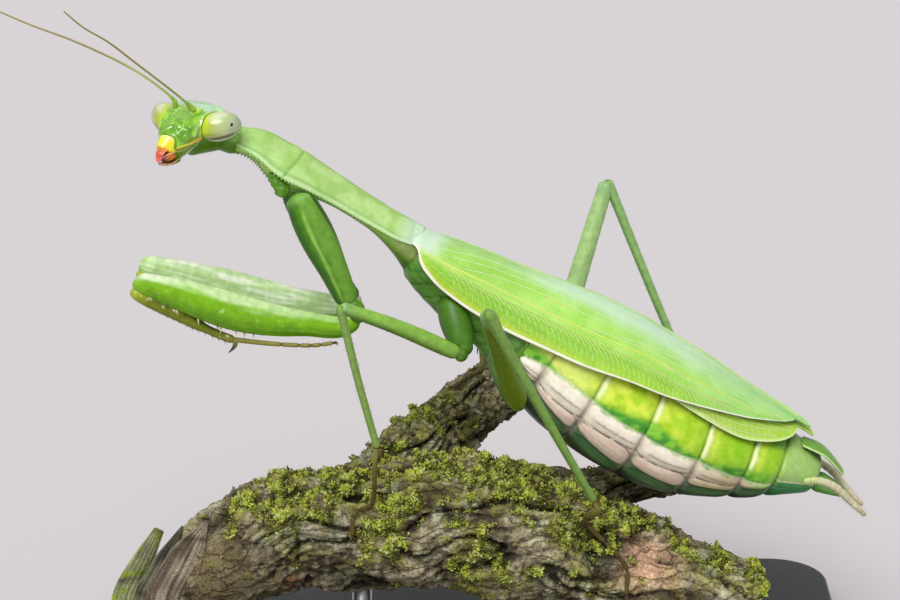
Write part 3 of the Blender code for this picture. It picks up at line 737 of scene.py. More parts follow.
class Kit:
    """What every sub-assembly works with: the finishes and the growths."""

    def __init__(self) -> None:
        """Makes every material and both trees once."""
        self.spikes, self.threads = Spikes(), Threads()
        self.skin = Cuticle("mantis_leg_cuticle").make()
        self.shield = Cuticle("mantis_shield_wax", 0.45, 0.2, 0.02, 0.5, 0.07).make()
        self.face = Cuticle("mantis_face_gloss", 0.22, 0.3, 0.02, 0.4, 0.12, coat=0.9, shine=0.6).make()
        self.belly = Cuticle("mantis_abdomen_skin", 0.36, 0.16, mottle=0.6, mottle_share=0.1, coat=0.12).make()
        self.lens = EyeGlaze().make()
        self.wing = WingMembrane().make()
        self.vein = Cuticle("mantis_wing_vein", pit_depth=0.004, mottle_share=0.04).make()
        self.horn = Cuticle("mantis_spine_horn", 0.3, pit_depth=0.003, mottle_share=0.1, glow=0.1, coat=0.3).make()
        self.feeler = Cuticle("mantis_feeler_cuticle", 0.45, pit_depth=0.004, mottle_share=0.1).make()
        self.mouth = Cuticle("mantis_mouth_skin", 0.26, 0.1, 0.008, 0.3, 0.2, coat=0.5).make()
        self.bark = Bark().make()
        self.wood = Bark("torn_wood", 0.15, 9.0).make()
        self.moss = MossLeaf().make()
        self.plate = PaintedSteel().make()
        self.rod = BrushedSteel().make()


# ---------------------------------------------------------------- trunk


def lean(ahead: Array) -> tuple[Array, Array]:
    """The left and upward directions of the leaning trunk for a forward direction in the middle plane."""
    upright = np.stack([-ahead[..., 2], 0 * ahead[..., 0], ahead[..., 0]], -1)
    across = np.array([0.0, -1.0, 0.0])
    return (across * math.cos(ROLL) - upright * math.sin(ROLL), upright * math.cos(ROLL) + across * math.sin(ROLL))


@dataclass
class Trunk:
    """The bent line and the sections that thorax, abdomen and wings are laid on."""

    line: Stops = (
        (-6.5, 46.6), (-2.5, 42.8), (1.5, 39.3), (5.0, 36.7), (9.0, 34.1), (13.0, 31.8), (17.0, 29.8), (21.0, 28.1),
        (25.0, 26.5), (29.0, 24.9), (33.0, 23.2), (37.5, 21.0))
    # x, half width, height of the back, depth of the belly
    sections: Stops = (
        (-6.5, 2.2, 1.1, 3.0), (-2.5, 3.1, 3.3, 3.6), (1.5, 3.9, 4.9, 3.6), (5.0, 5.0, 5.5, 5.2),
        (9.0, 6.3, 6.1, 6.7), (13.0, 6.9, 6.0, 7.5), (17.0, 7.1, 5.6, 7.95), (21.0, 7.0, 4.9, 7.85),
        (25.0, 6.2, 3.7, 6.75), (29.0, 5.0, 3.0, 5.2), (32.0, 3.5, 2.4, 3.6), (34.5, 2.3, 1.6, 2.2))
    # x, half width, height of the dome that the wings lie on
    dome: Stops = (
        (-6.9, 2.7, 1.9), (-4.8, 3.5, 3.3), (-2.5, 4.1, 4.7), (1.5, 4.9, 6.45), (5.0, 6.0, 7.46), (9.0, 7.0, 8.14),
        (13.0, 7.6, 8.2), (17.0, 7.7, 7.75), (21.0, 7.4, 7.04), (25.0, 6.6, 5.95), (29.0, 5.6, 5.06),
        (33.0, 4.6, 4.3))

    def frame(self, x: Array) -> tuple[Array, Array, Array]:
        """The centre, left and upward directions at x."""
        x = np.asarray(x, float)
        slope = (smooth(self.line, x + 0.3) - smooth(self.line, x - 0.3)) / 0.6
        left, up = lean(unit(np.stack([np.ones_like(x), 0 * x, slope], -1)))
        return np.stack([x, 0 * x, smooth(self.line, x)], -1), left, up

    def at(self, x: Array, turn: Array, lift: Array | float = 0.0) -> Array:
        """Places on the trunk.

        Args:
            x: Where along it.
            turn: Radians round it, from the left side over the back.
            lift: Millimetres off the plain section.

        Returns:
            The places.
        """
        centre, left, up = self.frame(x)
        width, back, belly = np.moveaxis(smooth(self.sections, x), -1, 0)
        rise = np.sin(turn)
        depth = np.where(rise > 0, back, belly)
        return (centre + left * ((width + lift) * np.cos(turn))[..., None]
                + up * ((depth + lift) * rise)[..., None])

    def over(self, x: Array, angle: Array, side: float, rise: Array | float) -> Array:
        """Places on the dome of the wings.

        Args:
            x: Where along it.
            angle: Degrees from the ridge.
            side: 1 on the left, -1 on the right.
            rise: Millimetres off the dome.

        Returns:
            The places.
        """
        centre, left, up = self.frame(x)
        width, height = np.moveaxis(smooth(self.dome, x), -1, 0)
        turn = np.radians(angle)
        out = unit(np.stack([np.sin(turn) / width, np.cos(turn) / height], -1))
        return (centre + left * (side * (width * np.sin(turn) + rise * out[..., 0]))[..., None]
                + up * (height * np.cos(turn) + rise * out[..., 1])[..., None])


def around(dense: tuple[float, float], fine: float, coarse: float) -> Array:
    """Angles once round a section, in degrees from the left side over the back, finer on both flanks.

    Args:
        dense: The fine stretch on the left flank, lowest and highest degrees.
        fine: The step there.
        coarse: The step elsewhere.

    Returns:
        The angles in rising order.
    """
    low, high = dense
    flank = np.arange(low, high, fine)
    over = np.arange(high, 180 - high, coarse)
    under = np.arange(180 - low, 360 + low, coarse)
    return np.concatenate([flank, over, 180 - flank[::-1] - fine, under])


@dataclass
class Thorax:
    """The two body parts that carry the wings and the four walking legs."""

    trunk: Trunk
    start: float = -6.4
    end: float = 5.2
    suture: float = -1.4

    def relief(self, x: Array, turn: Array) -> Array:
        """Side plates with slanting sutures, soft lumps, a rounded front end and a keeled belly."""
        high = np.degrees(np.arcsin(np.sin(turn)))
        slant = np.sin((x * 1.15 - high / 38) * 2.2)
        lump = grain(self.trunk.at(x + 0 * turn, turn + 0 * x), 1.7, 12)
        return (-0.12 - 0.22 * hump(x, self.suture, 0.28) - 0.16 * hump(slant, 0.0, 0.16) * ease(60, 30, high)
                + 0.1 * hump(high, -85, 12) + 0.08 * hump(high, 8, 9) - 0.1 * hump(high, -22, 5)
                + 0.22 * lump - 1.3 * ease(self.start + 1.4, self.start - 0.1, x) ** 2)

    def add_to(self, shells: Shells) -> None:
        """Lofts the thorax into the skin."""
        x = np.linspace(self.start, self.end, 90)[:, None]
        turn = np.radians(np.arange(0, 360, 3.6))[None]
        rows = self.trunk.at(x + 0 * turn, turn + 0 * x, self.relief(x, turn))
        high = np.degrees(np.arcsin(np.sin(turn))) + 0 * x
        tints = coats("#558A2C", ("#86B468", ease(-5, 50, high + 20 * grain(rows, 1.2, 13)) * 0.8),
            ("#2C5408", hump(np.sin((x * 1.15 - high / 38) * 2.2), 0.0, 0.12) * 0.6),
            ("#D6DDA0", ease(self.start + 1.0, self.start + 0.1, x) * ease(-30, 30, high) * 0.7))
        shells.loft(rows, tints)


@dataclass
class Abdomen:
    """Seven swollen rings: back plates, two rows of cream pads along each flank, and belly plates."""

    trunk: Trunk
    cuts: Sequence[float] = (4.4, 6.6, 11.2, 16.7, 22.2, 27.0, 30.2, 34.4)
    band_top: Stops = ((3.7, 1), (5.4, 7), (7.9, 11), (10.5, 9), (13.1, 5), (15.9, 2), (18.2, -1), (20.7, -3),
        (22.2, -4), (24.5, -7.5), (27.2, -12.5), (29.6, -15), (33.0, -16))
    seam: Stops = (
        (3.7, -3), (6.7, -8), (8.0, -10.6), (10.5, -11.7), (15.8, -13.2), (18.8, -16.8), (22.0, -17.2), (25.2, -21),
        (27.0, -21.3), (30.0, -18), (33.0, -17))
    band_low: Sequence[tuple[float, float]] = (
        (0, -12), (-13, -29), (-20, -38), (-26, -37), (-28, -30), (-23, -20), (-18, -17))
    split: Stops = (
        (3.7, 22), (5.8, 19), (9.1, 12), (11.5, 13), (15.2, 18), (17.6, 20), (20.5, 9), (23.0, 0), (26.0, 4),
        (28.0, 2), (33.0, 6))
    groove: float = 0.18
    pad: float = 0.16

    def marks(self, x: Array, turn: Array) -> dict[str, Array]:
        """Where a vertex lies among the plates and pads.

        Args:
            x: Where along the abdomen.
            turn: Radians round it.

        Returns:
            Height in degrees, share of the ring, edges of the zones and distance to the nearest joint.
        """
        cuts = np.array(self.cuts)
        ring = np.clip(np.searchsorted(cuts, x) - 1, 0, len(cuts) - 2)
        share = (x - cuts[ring]) / (cuts[ring + 1] - cuts[ring])
        lows = np.array(self.band_low)
        low = lows[ring, 0] + (lows[ring, 1] - lows[ring, 0]) * np.clip(share, 0, 1) ** 0.75
        high = np.degrees(np.arcsin(np.sin(turn))) + 0 * x
        seam = smooth(self.seam, x)
        across = (seam - high) / np.maximum(seam - low, 1.0)
        joint = np.abs(x[..., None] - cuts[1:-1]).min(-1)
        bean = np.abs(2 * share - 1) ** 5 + np.abs(2 * np.clip(across, -0.3, 1.3) - 1) ** 3
        return {"high": high, "share": share + 0 * high, "top": smooth(self.band_top, x) + 0 * high, "low": low,
                "seam": seam, "split": smooth(self.split, x), "joint": joint + 0 * high, "bean": bean,
                "behind": (x - cuts[ring]) + 0 * high, "mid": high - (seam + low) / 2}

    def relief(self, x: Array, m: dict[str, Array]) -> Array:
        """Plates that swell between pinched joints, pads that stand out, and creases between the rows."""
        bulge = np.sin(np.pi * np.clip(m["share"], 0, 1)) ** 0.5
        upper = hump(m["high"], (m["top"] + m["seam"]) / 2, 5.0)
        lower = hump(m["high"], (m["seam"] + m["low"]) / 2, 5.5)
        lift = (-0.16 - self.groove * hump(m["joint"], 0.0, 0.15) - 0.14 * hump(m["joint"], 0.0, 0.55) + 0.09 * bulge
            + self.pad * (upper + lower) * bulge - 0.13 * hump(m["high"], m["seam"], 1.6)
            - 0.08 * hump(m["high"], m["top"] + 1, 2.5) - 0.15 * hump(m["high"], m["low"] - 1, 2.2)
            - 0.1 * hump(m["high"], -74, 3))
        lens = hump(m["high"], m["low"] - 13, 6.5) * bulge
        return (lift + 0.12 * lens - 0.03 * hump(m["mid"], 0.0, 1.0) + 0.07 * hump(m["behind"], 0.35, 0.22)
            * ease(m["top"], m["top"] + 8, m["high"]))

    def paint(self, x: Array, m: dict[str, Array], rows: Array) -> Array:
        """Lays the greens, the creams and the ink lines."""
        blotch, speck = grain(rows, 1.1, 3), grain(rows, 0.26, 5)
        streak = grain(np.stack([rows[..., 0] / 2.2, rows[..., 1] / 2, rows[..., 2] / 0.5], -1), 1.0, 8)
        high, top, low, seam, tail = m["high"], m["top"], m["low"], m["seam"], ease(29.6, 31.0, x)
        green = mix("#8ED23C", "#46A02A", ease(-0.25, 0.3, blotch + 0.5 * streak))
        # The yellow darkens towards the tail, partly its own tone and partly painted shadow of the wings; the front
        # rings get painted light where the wings shade them.
        yellow = coats("#DFF04E", ("#B6DC2A", ease(-0.3, 0.3, blotch + 0.4 * streak)),
            ("#8CC81C", ease(14.0, 26.0, x) * 0.8), ("#F2FC8C", ease(12.5, 8.5, x) * 0.7))
        strip = ease(0.06, 0.18, m["behind"]) * ease(0.75, 0.3, m["behind"] + 0.25 * blotch)
        strip = strip * ease(m["split"] - 3, m["split"] + 7, high + 4 * blotch) * ease(9.0, 11.5, x)
        near = hump(m["joint"], 0.15, 0.85) * ease(m["split"] + 2, top + 1, high) + hump(high, top + 4.5, 2.6) * 0.9
        cream = mix("#FFF5E0", "#EAD0BA", ease(seam + 2.5, seam - 2.5, high) * 0.8 + 0.25 * blotch)
        cream = mix(cream, "#CBB988", ease(20.0, 27.0, x) * 0.9)
        shadow = hump(high, (top * 0.42 + seam * 0.58) + 0.8 * speck, 1.0) * ease(0.08, 0.3, m["share"])
        cream = mix(cream, "#9C8678", shadow * ease(1.0, 0.85, m["share"]) * 0.65)
        edge = ease(top + 2.2, top - 1.2, high + 2.2 * speck + 2 * blotch) * (1 - tail) * ease(30.3, 27.4, x)
        # Belly plates: dark green, painted darker towards the bottom as shade, with a painted highlight across the
        # middle of each plate.
        belly = mix("#4A7044", "#263A22", ease(low - 3, low - 26, high + 4 * blotch))
        belly = mix(belly, "#6FA06A", hump(high, low - 9, 3.0) * hump(m["share"], 0.5, 0.34) * 0.45)
        lens = np.abs(2 * m["share"] - 1) ** 3 + np.abs((high - (low - 12)) / 11) ** 2
        line = "#2A2622"
        dash = ease(-0.3, -0.05, grain(rows, 0.5, 10) + 0.5 * speck)
        inside = (high < seam - 0.5) & (high > low - 3)
        grey = mix("#8C9080", "#C6B8A0", ease(low, top, high))
        fold = hump(m["joint"], 0.0, 0.3) * ease(top + 3, top - 1, high) * (1 - 0.7 * tail)
        dark = hump(m["joint"], 0.0, 0.07) * ease(top - 2, top + 6, high)
        low_tail = ease(-6, -9, high)
        after = mix("#A8CC74", "#3F8A4A", low_tail)
        after = mix(after, "#EEE6C0", hump(high, -6.5, 1.2) * 0.9)
        return coats(green, (yellow, ease(m["split"] - 4, m["split"] + 4, high + 5 * blotch)),
            ("#7DB32E", ease(42, 62, high)), ("#F6F7C6", strip * ease(30.0, 28.5, x) * 0.85),
            ("#E8F05E", hump(m["behind"], 1.0, 0.35) * ease(m["split"], m["split"] + 8, high) * ease(9.0, 11.5, x)
            * 0.5), ("#3A8A3C", near * ease(0.0, 0.5, speck) * ease(top - 1.5, top + 2, high) * 0.5),
            ("#E4F2C8", hump(high, top + 1.6, 1.6) * (1 - tail) * 0.7), (cream, edge),
            (belly, ease(low + 0.8, low - 1.0, high)), ("#16201A", hump(lens, 0.95, 0.1) * (high < low) * 0.7),
            (line, hump(high, seam, 0.7) * dash * ease(28.5, 26.5, x) * 0.85),
            (line, hump(m["bean"], 0.86, 0.13) * inside * ease(29.0, 26.5, x) * 0.8),
            (grey, fold * ease(low - 20, low - 6, high) * 0.9), ("#2F6230", dark * (0.6 + 0.4 * ease(30, 10, high))),
            (after, tail * (1 - 0.5 * dark)))

    def build(self, kit: Kit) -> None:
        """Makes the abdomen in one skin and replaces its rings."""
        x = np.concatenate([np.linspace(self.cuts[0] - 0.3, 33.9, 268), [34.1, 34.25, 34.35]])[:, None]
        turn = np.radians(around((-46, 28), 0.75, 3.0))[None]
        marks = self.marks(x, turn)
        lift = self.relief(x, marks) - 0.9 * ease(33.9, 34.35, x) ** 2
        rows = self.trunk.at(x + 0 * turn, turn + 0 * x, lift)
        shells = Shells()
        shells.loft(rows, np.clip(self.paint(x, marks, rows), 0, 1))
        shells.piece("abdomen_skin", kit.belly, "abdomen",
                     *[f"abdomen_ring_{i}" for i in range(1, len(self.cuts))])


@dataclass
class Tail:
    """The leaf over the end of the abdomen, the pointed valves under it and the two jointed cerci."""

    leaf: Limb = field(default_factory=lambda: Limb(
        [(32.6, -0.2, 26.1), (34.9, -0.4, 25.0), (36.9, -0.5, 22.7)], ((0.0, 0.27), (0.35, 0.31), (1.0, 0.22)),
        flat=5.6, rows=60, columns=56))
    valves: Limb = field(default_factory=lambda: Limb(
        [(33.6, -0.3, 22.1), (36.0, -0.4, 21.0), (37.6, -0.5, 20.2)], ((0.0, 1.3), (0.6, 0.78), (1.0, 0.28)),
        flat=0.8, rows=60, columns=40))
    cercus: Stops = ((0.0, 0.34), (0.3, 0.4), (0.7, 0.36), (1.0, 0.2))
    joints: int = 12

    def feeler(self, side: float) -> Limb:
        """The limb of one cercus."""
        places = [(32.6, side * 2.7 - 0.5, 22.8), (34.0, side * 2.9 - 0.5, 23.0), (35.8, side * 2.6 - 0.5, 22.2),
                  (37.3, side * 2.0 - 0.5, 20.6), (39.2, side * 1.4 - 0.5, 18.6)]
        return Limb(places, self.cercus, rows=120, columns=20)

    def build(self, kit: Kit) -> None:
        """Makes leaf and valves in one piece and each cercus in its own."""
        shells = Shells()
        self.leaf.add_to(
            shells, lambda t, a, rows: coats("#6FA832", ("#2F6A1E", ease(-0.2, 0.5, np.sin(a))),
                                             ("#CDE5A0", np.maximum(hump(np.abs(np.cos(a)), 1.0, 0.07),
                                                                    ease(0.9, 1.0, t)))),
            lambda t, a: 0.02 * np.sin(14 * np.cos(a)))
        self.valves.add_to(
            shells, lambda t, a, rows: coats("#3C7A2E", ("#6FA84E", ease(-0.2, 0.8, np.cos(a))),
                                             ("#C7B43C", ease(0.78, 1.0, t) * 0.8)),
            lambda t, a: -0.1 * hump(np.sin(a), 0.15, 0.1) - 0.06 * hump(np.cos(a), 0.0, 0.12))
        shells.piece("tail_plates", kit.belly, "abdomen", "supra_anal_plate", "ovipositor")
        hairs = Spots()
        for side in Side:
            shells, name = Shells(), "cercus_" + side.word
            rows = self.feeler(-side.value).add_to(
                shells, along("#C6D48C", ("#DAD3B4", 0.05, 0.3), ("#BBA98A", 0.8, 1.0)),
                lambda t, a: -0.06 * hump(np.sin(np.pi * t * self.joints), 0.0, 0.3))
            shells.piece(name + "_skin", kit.feeler, "feelers", name)
            picked = rows[8:-6:5]
            ring = picked[:, ::3]
            out = unit(ring - picked.mean(1, keepdims=True)) + np.array([0.6, 0.0, -0.6])
            hairs.put(ring.reshape(-1, 3), out.reshape(-1, 3), 0.4, "#D9CFA0")
        kit.spikes.grow(hairs, "cercus_hairs", kit.feeler, "feelers", Width=0.04, Tip=0.01, Sides=3, Steps=1)


# ---------------------------------------------------------------- wings


@dataclass
class Wings:
    """Two forewings over two hindwings: thin leathery shells with raised veins."""

    trunk: Trunk
    fore_edge: Stops = (
        (-6.9, 40), (-6.0, 78), (-4.6, 88), (-2.5, 86), (1.5, 77), (5.0, 68.7), (9.0, 62.4), (13.0, 55.2),
        (17.0, 50.9), (21.0, 45.0), (25.0, 35.5), (27.2, 27.0), (28.8, 18.0), (29.7, 9.0), (30.0, 4.0))
    hind_edge: Stops = (
        (3.0, 25), (9.0, 44), (13.0, 47), (17.0, 48), (19.5, 51), (22.0, 53.5), (25.0, 55), (27.0, 51), (29.0, 40),
        (30.2, 24), (30.6, 6.0))
    subcosta: Stops = (
        (-5.8, 59), (-3.8, 56), (-1.9, 54), (0.4, 52), (3.8, 46.5), (6.4, 44), (10.0, 40.5), (12.7, 38),
        (16.5, 36.5), (20.6, 34.5), (24.5, 29.5), (27.0, 23), (28.6, 15.5))
    main_vein: Stops = (
        (-5.9, 53.5), (-4.0, 51), (-2.2, 47), (-0.4, 45), (2.6, 41.8), (5.3, 39.5), (7.9, 37), (10.7, 34.2),
        (13.6, 30.5), (17.8, 28), (21.7, 26), (26.0, 20.5), (28.8, 11))
    upper_veins: Sequence[Stops] = (
        ((-3.2, 44), (-1.1, 33), (1.8, 27), (4.5, 25.5), (7.3, 24), (10.0, 19.5), (13.0, 15.5), (15.6, 13),
         (21.3, 9.5), (25.8, 8), (28.9, 6)),
        ((-4.4, 36), (-1.5, 23), (3.0, 17.5), (8.0, 12.5), (13.0, 8.2), (18.0, 5), (23.0, 3.5)),
        ((10.7, 27.5), (13.7, 22), (17.4, 17.5), (21.3, 14.5), (25.5, 12), (29.0, 8)),
        ((8.2, 33.5), (11.5, 28.5), (15.0, 24.5), (19.0, 21.5), (24.0, 18.5), (28.6, 12)),
        ((-5.2, 28), (-2.5, 14), (2.0, 9), (7.0, 6), (12.0, 3.8)),
        ((15.5, 30), (19.0, 30), (23.0, 26.5), (26.5, 18.5), (28.7, 12.5)))
    hind_veins: Sequence[Stops] = (
        ((13.0, 42), (18.9, 47), (22.7, 50), (26.4, 45), (28.6, 35)),
        ((15.0, 40), (19.9, 45), (25.0, 41), (28.6, 28)),
        ((14.0, 36), (20.0, 38), (26.0, 33), (30.0, 18)),
        ((12.0, 30), (20.0, 30), (26.5, 24), (30.0, 10)))
    stigma: tuple[float, float, float] = (3.7, 26.5, 1.3)  # x, angle, half length
    right_longer: float = 1.7
    under: float = 0.62
    thickness: float = 0.14
    slant: float = 2.0  # a costal veinlet runs this far back on its way to the edge
    veinlet_step: float = 0.5

    def stretch(self, edge: Stops, x: Array, longer: float) -> Array:
        """Moves a place along a wing that is longer than its pair."""
        first, last = edge[0][0], edge[-1][0]
        return first + (x - first) * (last + longer - first) / (last - first)

    def shell(self, side: float, edge: Stops, rise: float, longer: float, hind: bool) -> Shells:
        """Makes one wing.

        Args:
            side: 1 on the left, -1 on the right.
            edge: The outer edge as x and degrees.
            rise: How far off the dome its upper face lies.
            longer: How much longer than its pair it is.
            hind: Whether it is a hindwing.

        Returns:
            The shell.
        """
        x = np.concatenate([np.linspace(edge[0][0], edge[-1][0] - 0.6, 250),
                            edge[-1][0] - 0.6 * np.linspace(0.96, 0.0, 22) ** 1.5])[:, None]
        place = self.stretch(edge, x, longer)
        width = smooth(self.trunk.dome, place)[..., 0]
        inner = np.degrees(0.012 / width)
        outer = np.maximum(smooth(edge, x), inner + 2.5)
        share = np.linspace(0, 1, 118)[None] ** 0.92
        angle = inner + (outer - inner) * share
        gap = np.radians(outer - angle) * width
        fold = 0.04 * np.sin(angle * 0.9 + 0.4) * ease(0.0, 1.2, gap) * ease(6, 20, angle)
        if not hind:
            fold = fold - 0.09 * hump(angle, smooth(self.subcosta, x) + 1.5, 1.6) * ease(-5, -2, x)
        rim = 0.06 * hump(gap, 0.1, 0.14)
        upper = self.trunk.over(place + 0 * angle, angle, side, rise - 0.09 + fold * 0.5 + rim)
        few = slice(None, None, 8)
        low_angle, low_gap = angle[:, few][:, ::-1], gap[:, few][:, ::-1]
        lower = self.trunk.over(place + 0 * low_angle, low_angle, side,
                                rise - 0.09 - self.thickness * (0.4 + 0.6 * ease(0.0, 0.5, low_gap)))
        tints = self.paint(x, angle, gap, upper, hind)
        # The lower face is painted dark as shade, with a pale rim along the edge.
        underside_shade_tints = mix(np.broadcast_to(linear("#5E8F3A"), lower.shape), "#D9E8C0", hump(low_gap, 0.0, 0.1))
        shells = Shells()
        spread = np.stack([place + 0 * angle, np.radians(angle) * width], -1) / 100
        low_spread = np.stack([place + 0 * low_angle, np.radians(low_angle) * width], -1) / 100
        shells.loft(np.concatenate([upper, lower], 1), np.concatenate([tints, underside_shade_tints], 1),
                    np.concatenate([spread, low_spread], 1))
        return shells

    def paint(self, x: Array, angle: Array, gap: Array, places: Array, hind: bool) -> Array:
        """The greens of a wing, its cream outer edge, its pale shoulder, its small amber mark and a painted sky
        reflection along the ridge.
        """
        blotch = grain(places, 2.2, 9)
        if hind:
            return coats("#B2D848", ("#A5D33C", ease(-0.3, 0.3, blotch)), ("#D3EC92", ease(0.7, 0.1, gap)),
                ("#EEF6CC", hump(gap, 0.0, 0.1)))
        field_line = angle - smooth(self.subcosta, x)
        shoulder = ease(-4.6, -6.2, x) * ease(64, 44, angle)
        amber = hump(x, self.stigma[0], self.stigma[2]) * hump(angle, self.stigma[1], 0.9)
        wide = 0.25 + 0.16 * ease(-3.5, -6.0, x) - 0.1 * ease(4, 16, x)
        cream = ease(wide + 0.06, wide - 0.06, gap) * ease(31, 20, x)
        return coats("#B6EA72", ("#A2DE56", ease(-0.3, 0.4, blotch)), ("#86C21C", ease(-2, 5, field_line) * 0.8),
            ("#B4DE34", ease(1.6, 0.5, gap) * ease(30, 10, x) * 0.5),
            # The two pale mints towards the ridge are painted sheen: the sky's reflection on the wing.
            ("#C8F2C0", ease(27, 6, angle + 4 * blotch) * ease(32, 16, x) * 0.9),
            ("#D2F8D6", ease(17, 3, angle + 2 * blotch) * ease(24, 12, x) * ease(1, 6, x) * 0.75),
            ("#9FE08C", ease(16, 27, x) * 0.6 + 0 * angle),
            ("#9CD252", ease(4.0, -2.0, x) * ease(56, 44, angle) * 0.7), ("#D9F0DF", shoulder * 0.85),
            ("#3F6A2A", hump(x, -6.1, 0.28) * hump(angle, 62, 7) * ease(-0.2, 0.3, blotch) * 0.7),
            ("#F2C448", amber * 0.6), ("#DCE03A", hump(gap, 0.42, 0.12) * ease(13, 0, x) * 0.6),
            ("#FBF8E6", np.clip(cream + 0.4 * ease(0.16, 0.08, gap), 0, 1)))

    def veins(self, side: float, longer: float) -> Strands:
        """The raised veins of one forewing."""
        strands = Strands()

        def lay(stops: Stops, start: float, end: float, tint: str, count: int = 90, shift: float = 0.0) -> None:
            """Runs one vein along its stops, thinner towards the tip."""
            x = np.linspace(stops[0][0], stops[-1][0], count)
            places = self.trunk.over(self.stretch(self.fore_edge, x, longer), smooth(stops, x) + shift, side, -0.1)
            strands.run(places, np.linspace(start, end, count), tint)

        lay(self.subcosta, 0.07, 0.04, "#CFEE70")
        lay(self.main_vein, 0.09, 0.045, "#E4FA78")
        lay(self.main_vein, 0.06, 0.035, "#D8F584", 90, 1.9)
        for stops in self.upper_veins:
            lay(stops, 0.06, 0.035, "#D6F6AC")
        for start in np.arange(-4.6, 25.0, self.veinlet_step):
            low, slant = float(smooth(self.subcosta, start)), self.slant
            high = float(smooth(self.fore_edge, start + slant)) - 2.2
            if high - low > 3:
                bend = ((start, low), (start + slant * 0.5, low + (high - low) * 0.24),
                        (start + slant * 0.9, low + (high - low) * 0.66), (start + slant, high))
                lay(bend, 0.034, 0.03, "#DDF6A4", 12)
        return strands

    def hind_net(self, side: float, longer: float) -> Strands:
        """The veins of the part of a hindwing that shows."""
        strands = Strands()

        def lay(x: Array, angle: Array, thick: float) -> None:
            """Runs one vein through places along the wing and angles from the ridge."""
            places = self.trunk.over(self.stretch(self.hind_edge, x, longer), angle, side, -self.under - 0.1)
            strands.run(places, thick, "#DDF0A8")

        for stops in self.hind_veins:
            x = np.linspace(stops[0][0], stops[-1][0], 60)
            lay(x, smooth(stops, x), 0.05)
        for start in np.arange(17.0, 28.0, 0.6):
            low, high = float(smooth(self.hind_veins[1], start)), float(smooth(self.hind_edge, start + 0.5)) - 1.5
            lay(np.linspace(start, start + 0.5, 8), np.linspace(low, high, 8), 0.03)
        return strands

    def build(self, kit: Kit) -> None:
        """Makes the four wings and their veins."""
        for side, longer in ((Side.LEFT, 0.0), (Side.RIGHT, self.right_longer)):
            fore, hind = "forewing_" + side.word, "hindwing_" + side.word
            for name, edge, rise in ((fore, self.fore_edge, 0.0), (hind, self.hind_edge, -self.under)):
                shell = self.shell(side.value, edge, rise, longer, name == hind)
                shell.piece(name + "_membrane", kit.wing, "wings", name)
            for name, veins in ((fore, self.veins), (hind, self.hind_net)):
                kit.threads.grow(veins(side.value, longer), name + "_veins", kit.vein, "wings", Sides=6)


# ---------------------------------------------------------------- prothorax and neck


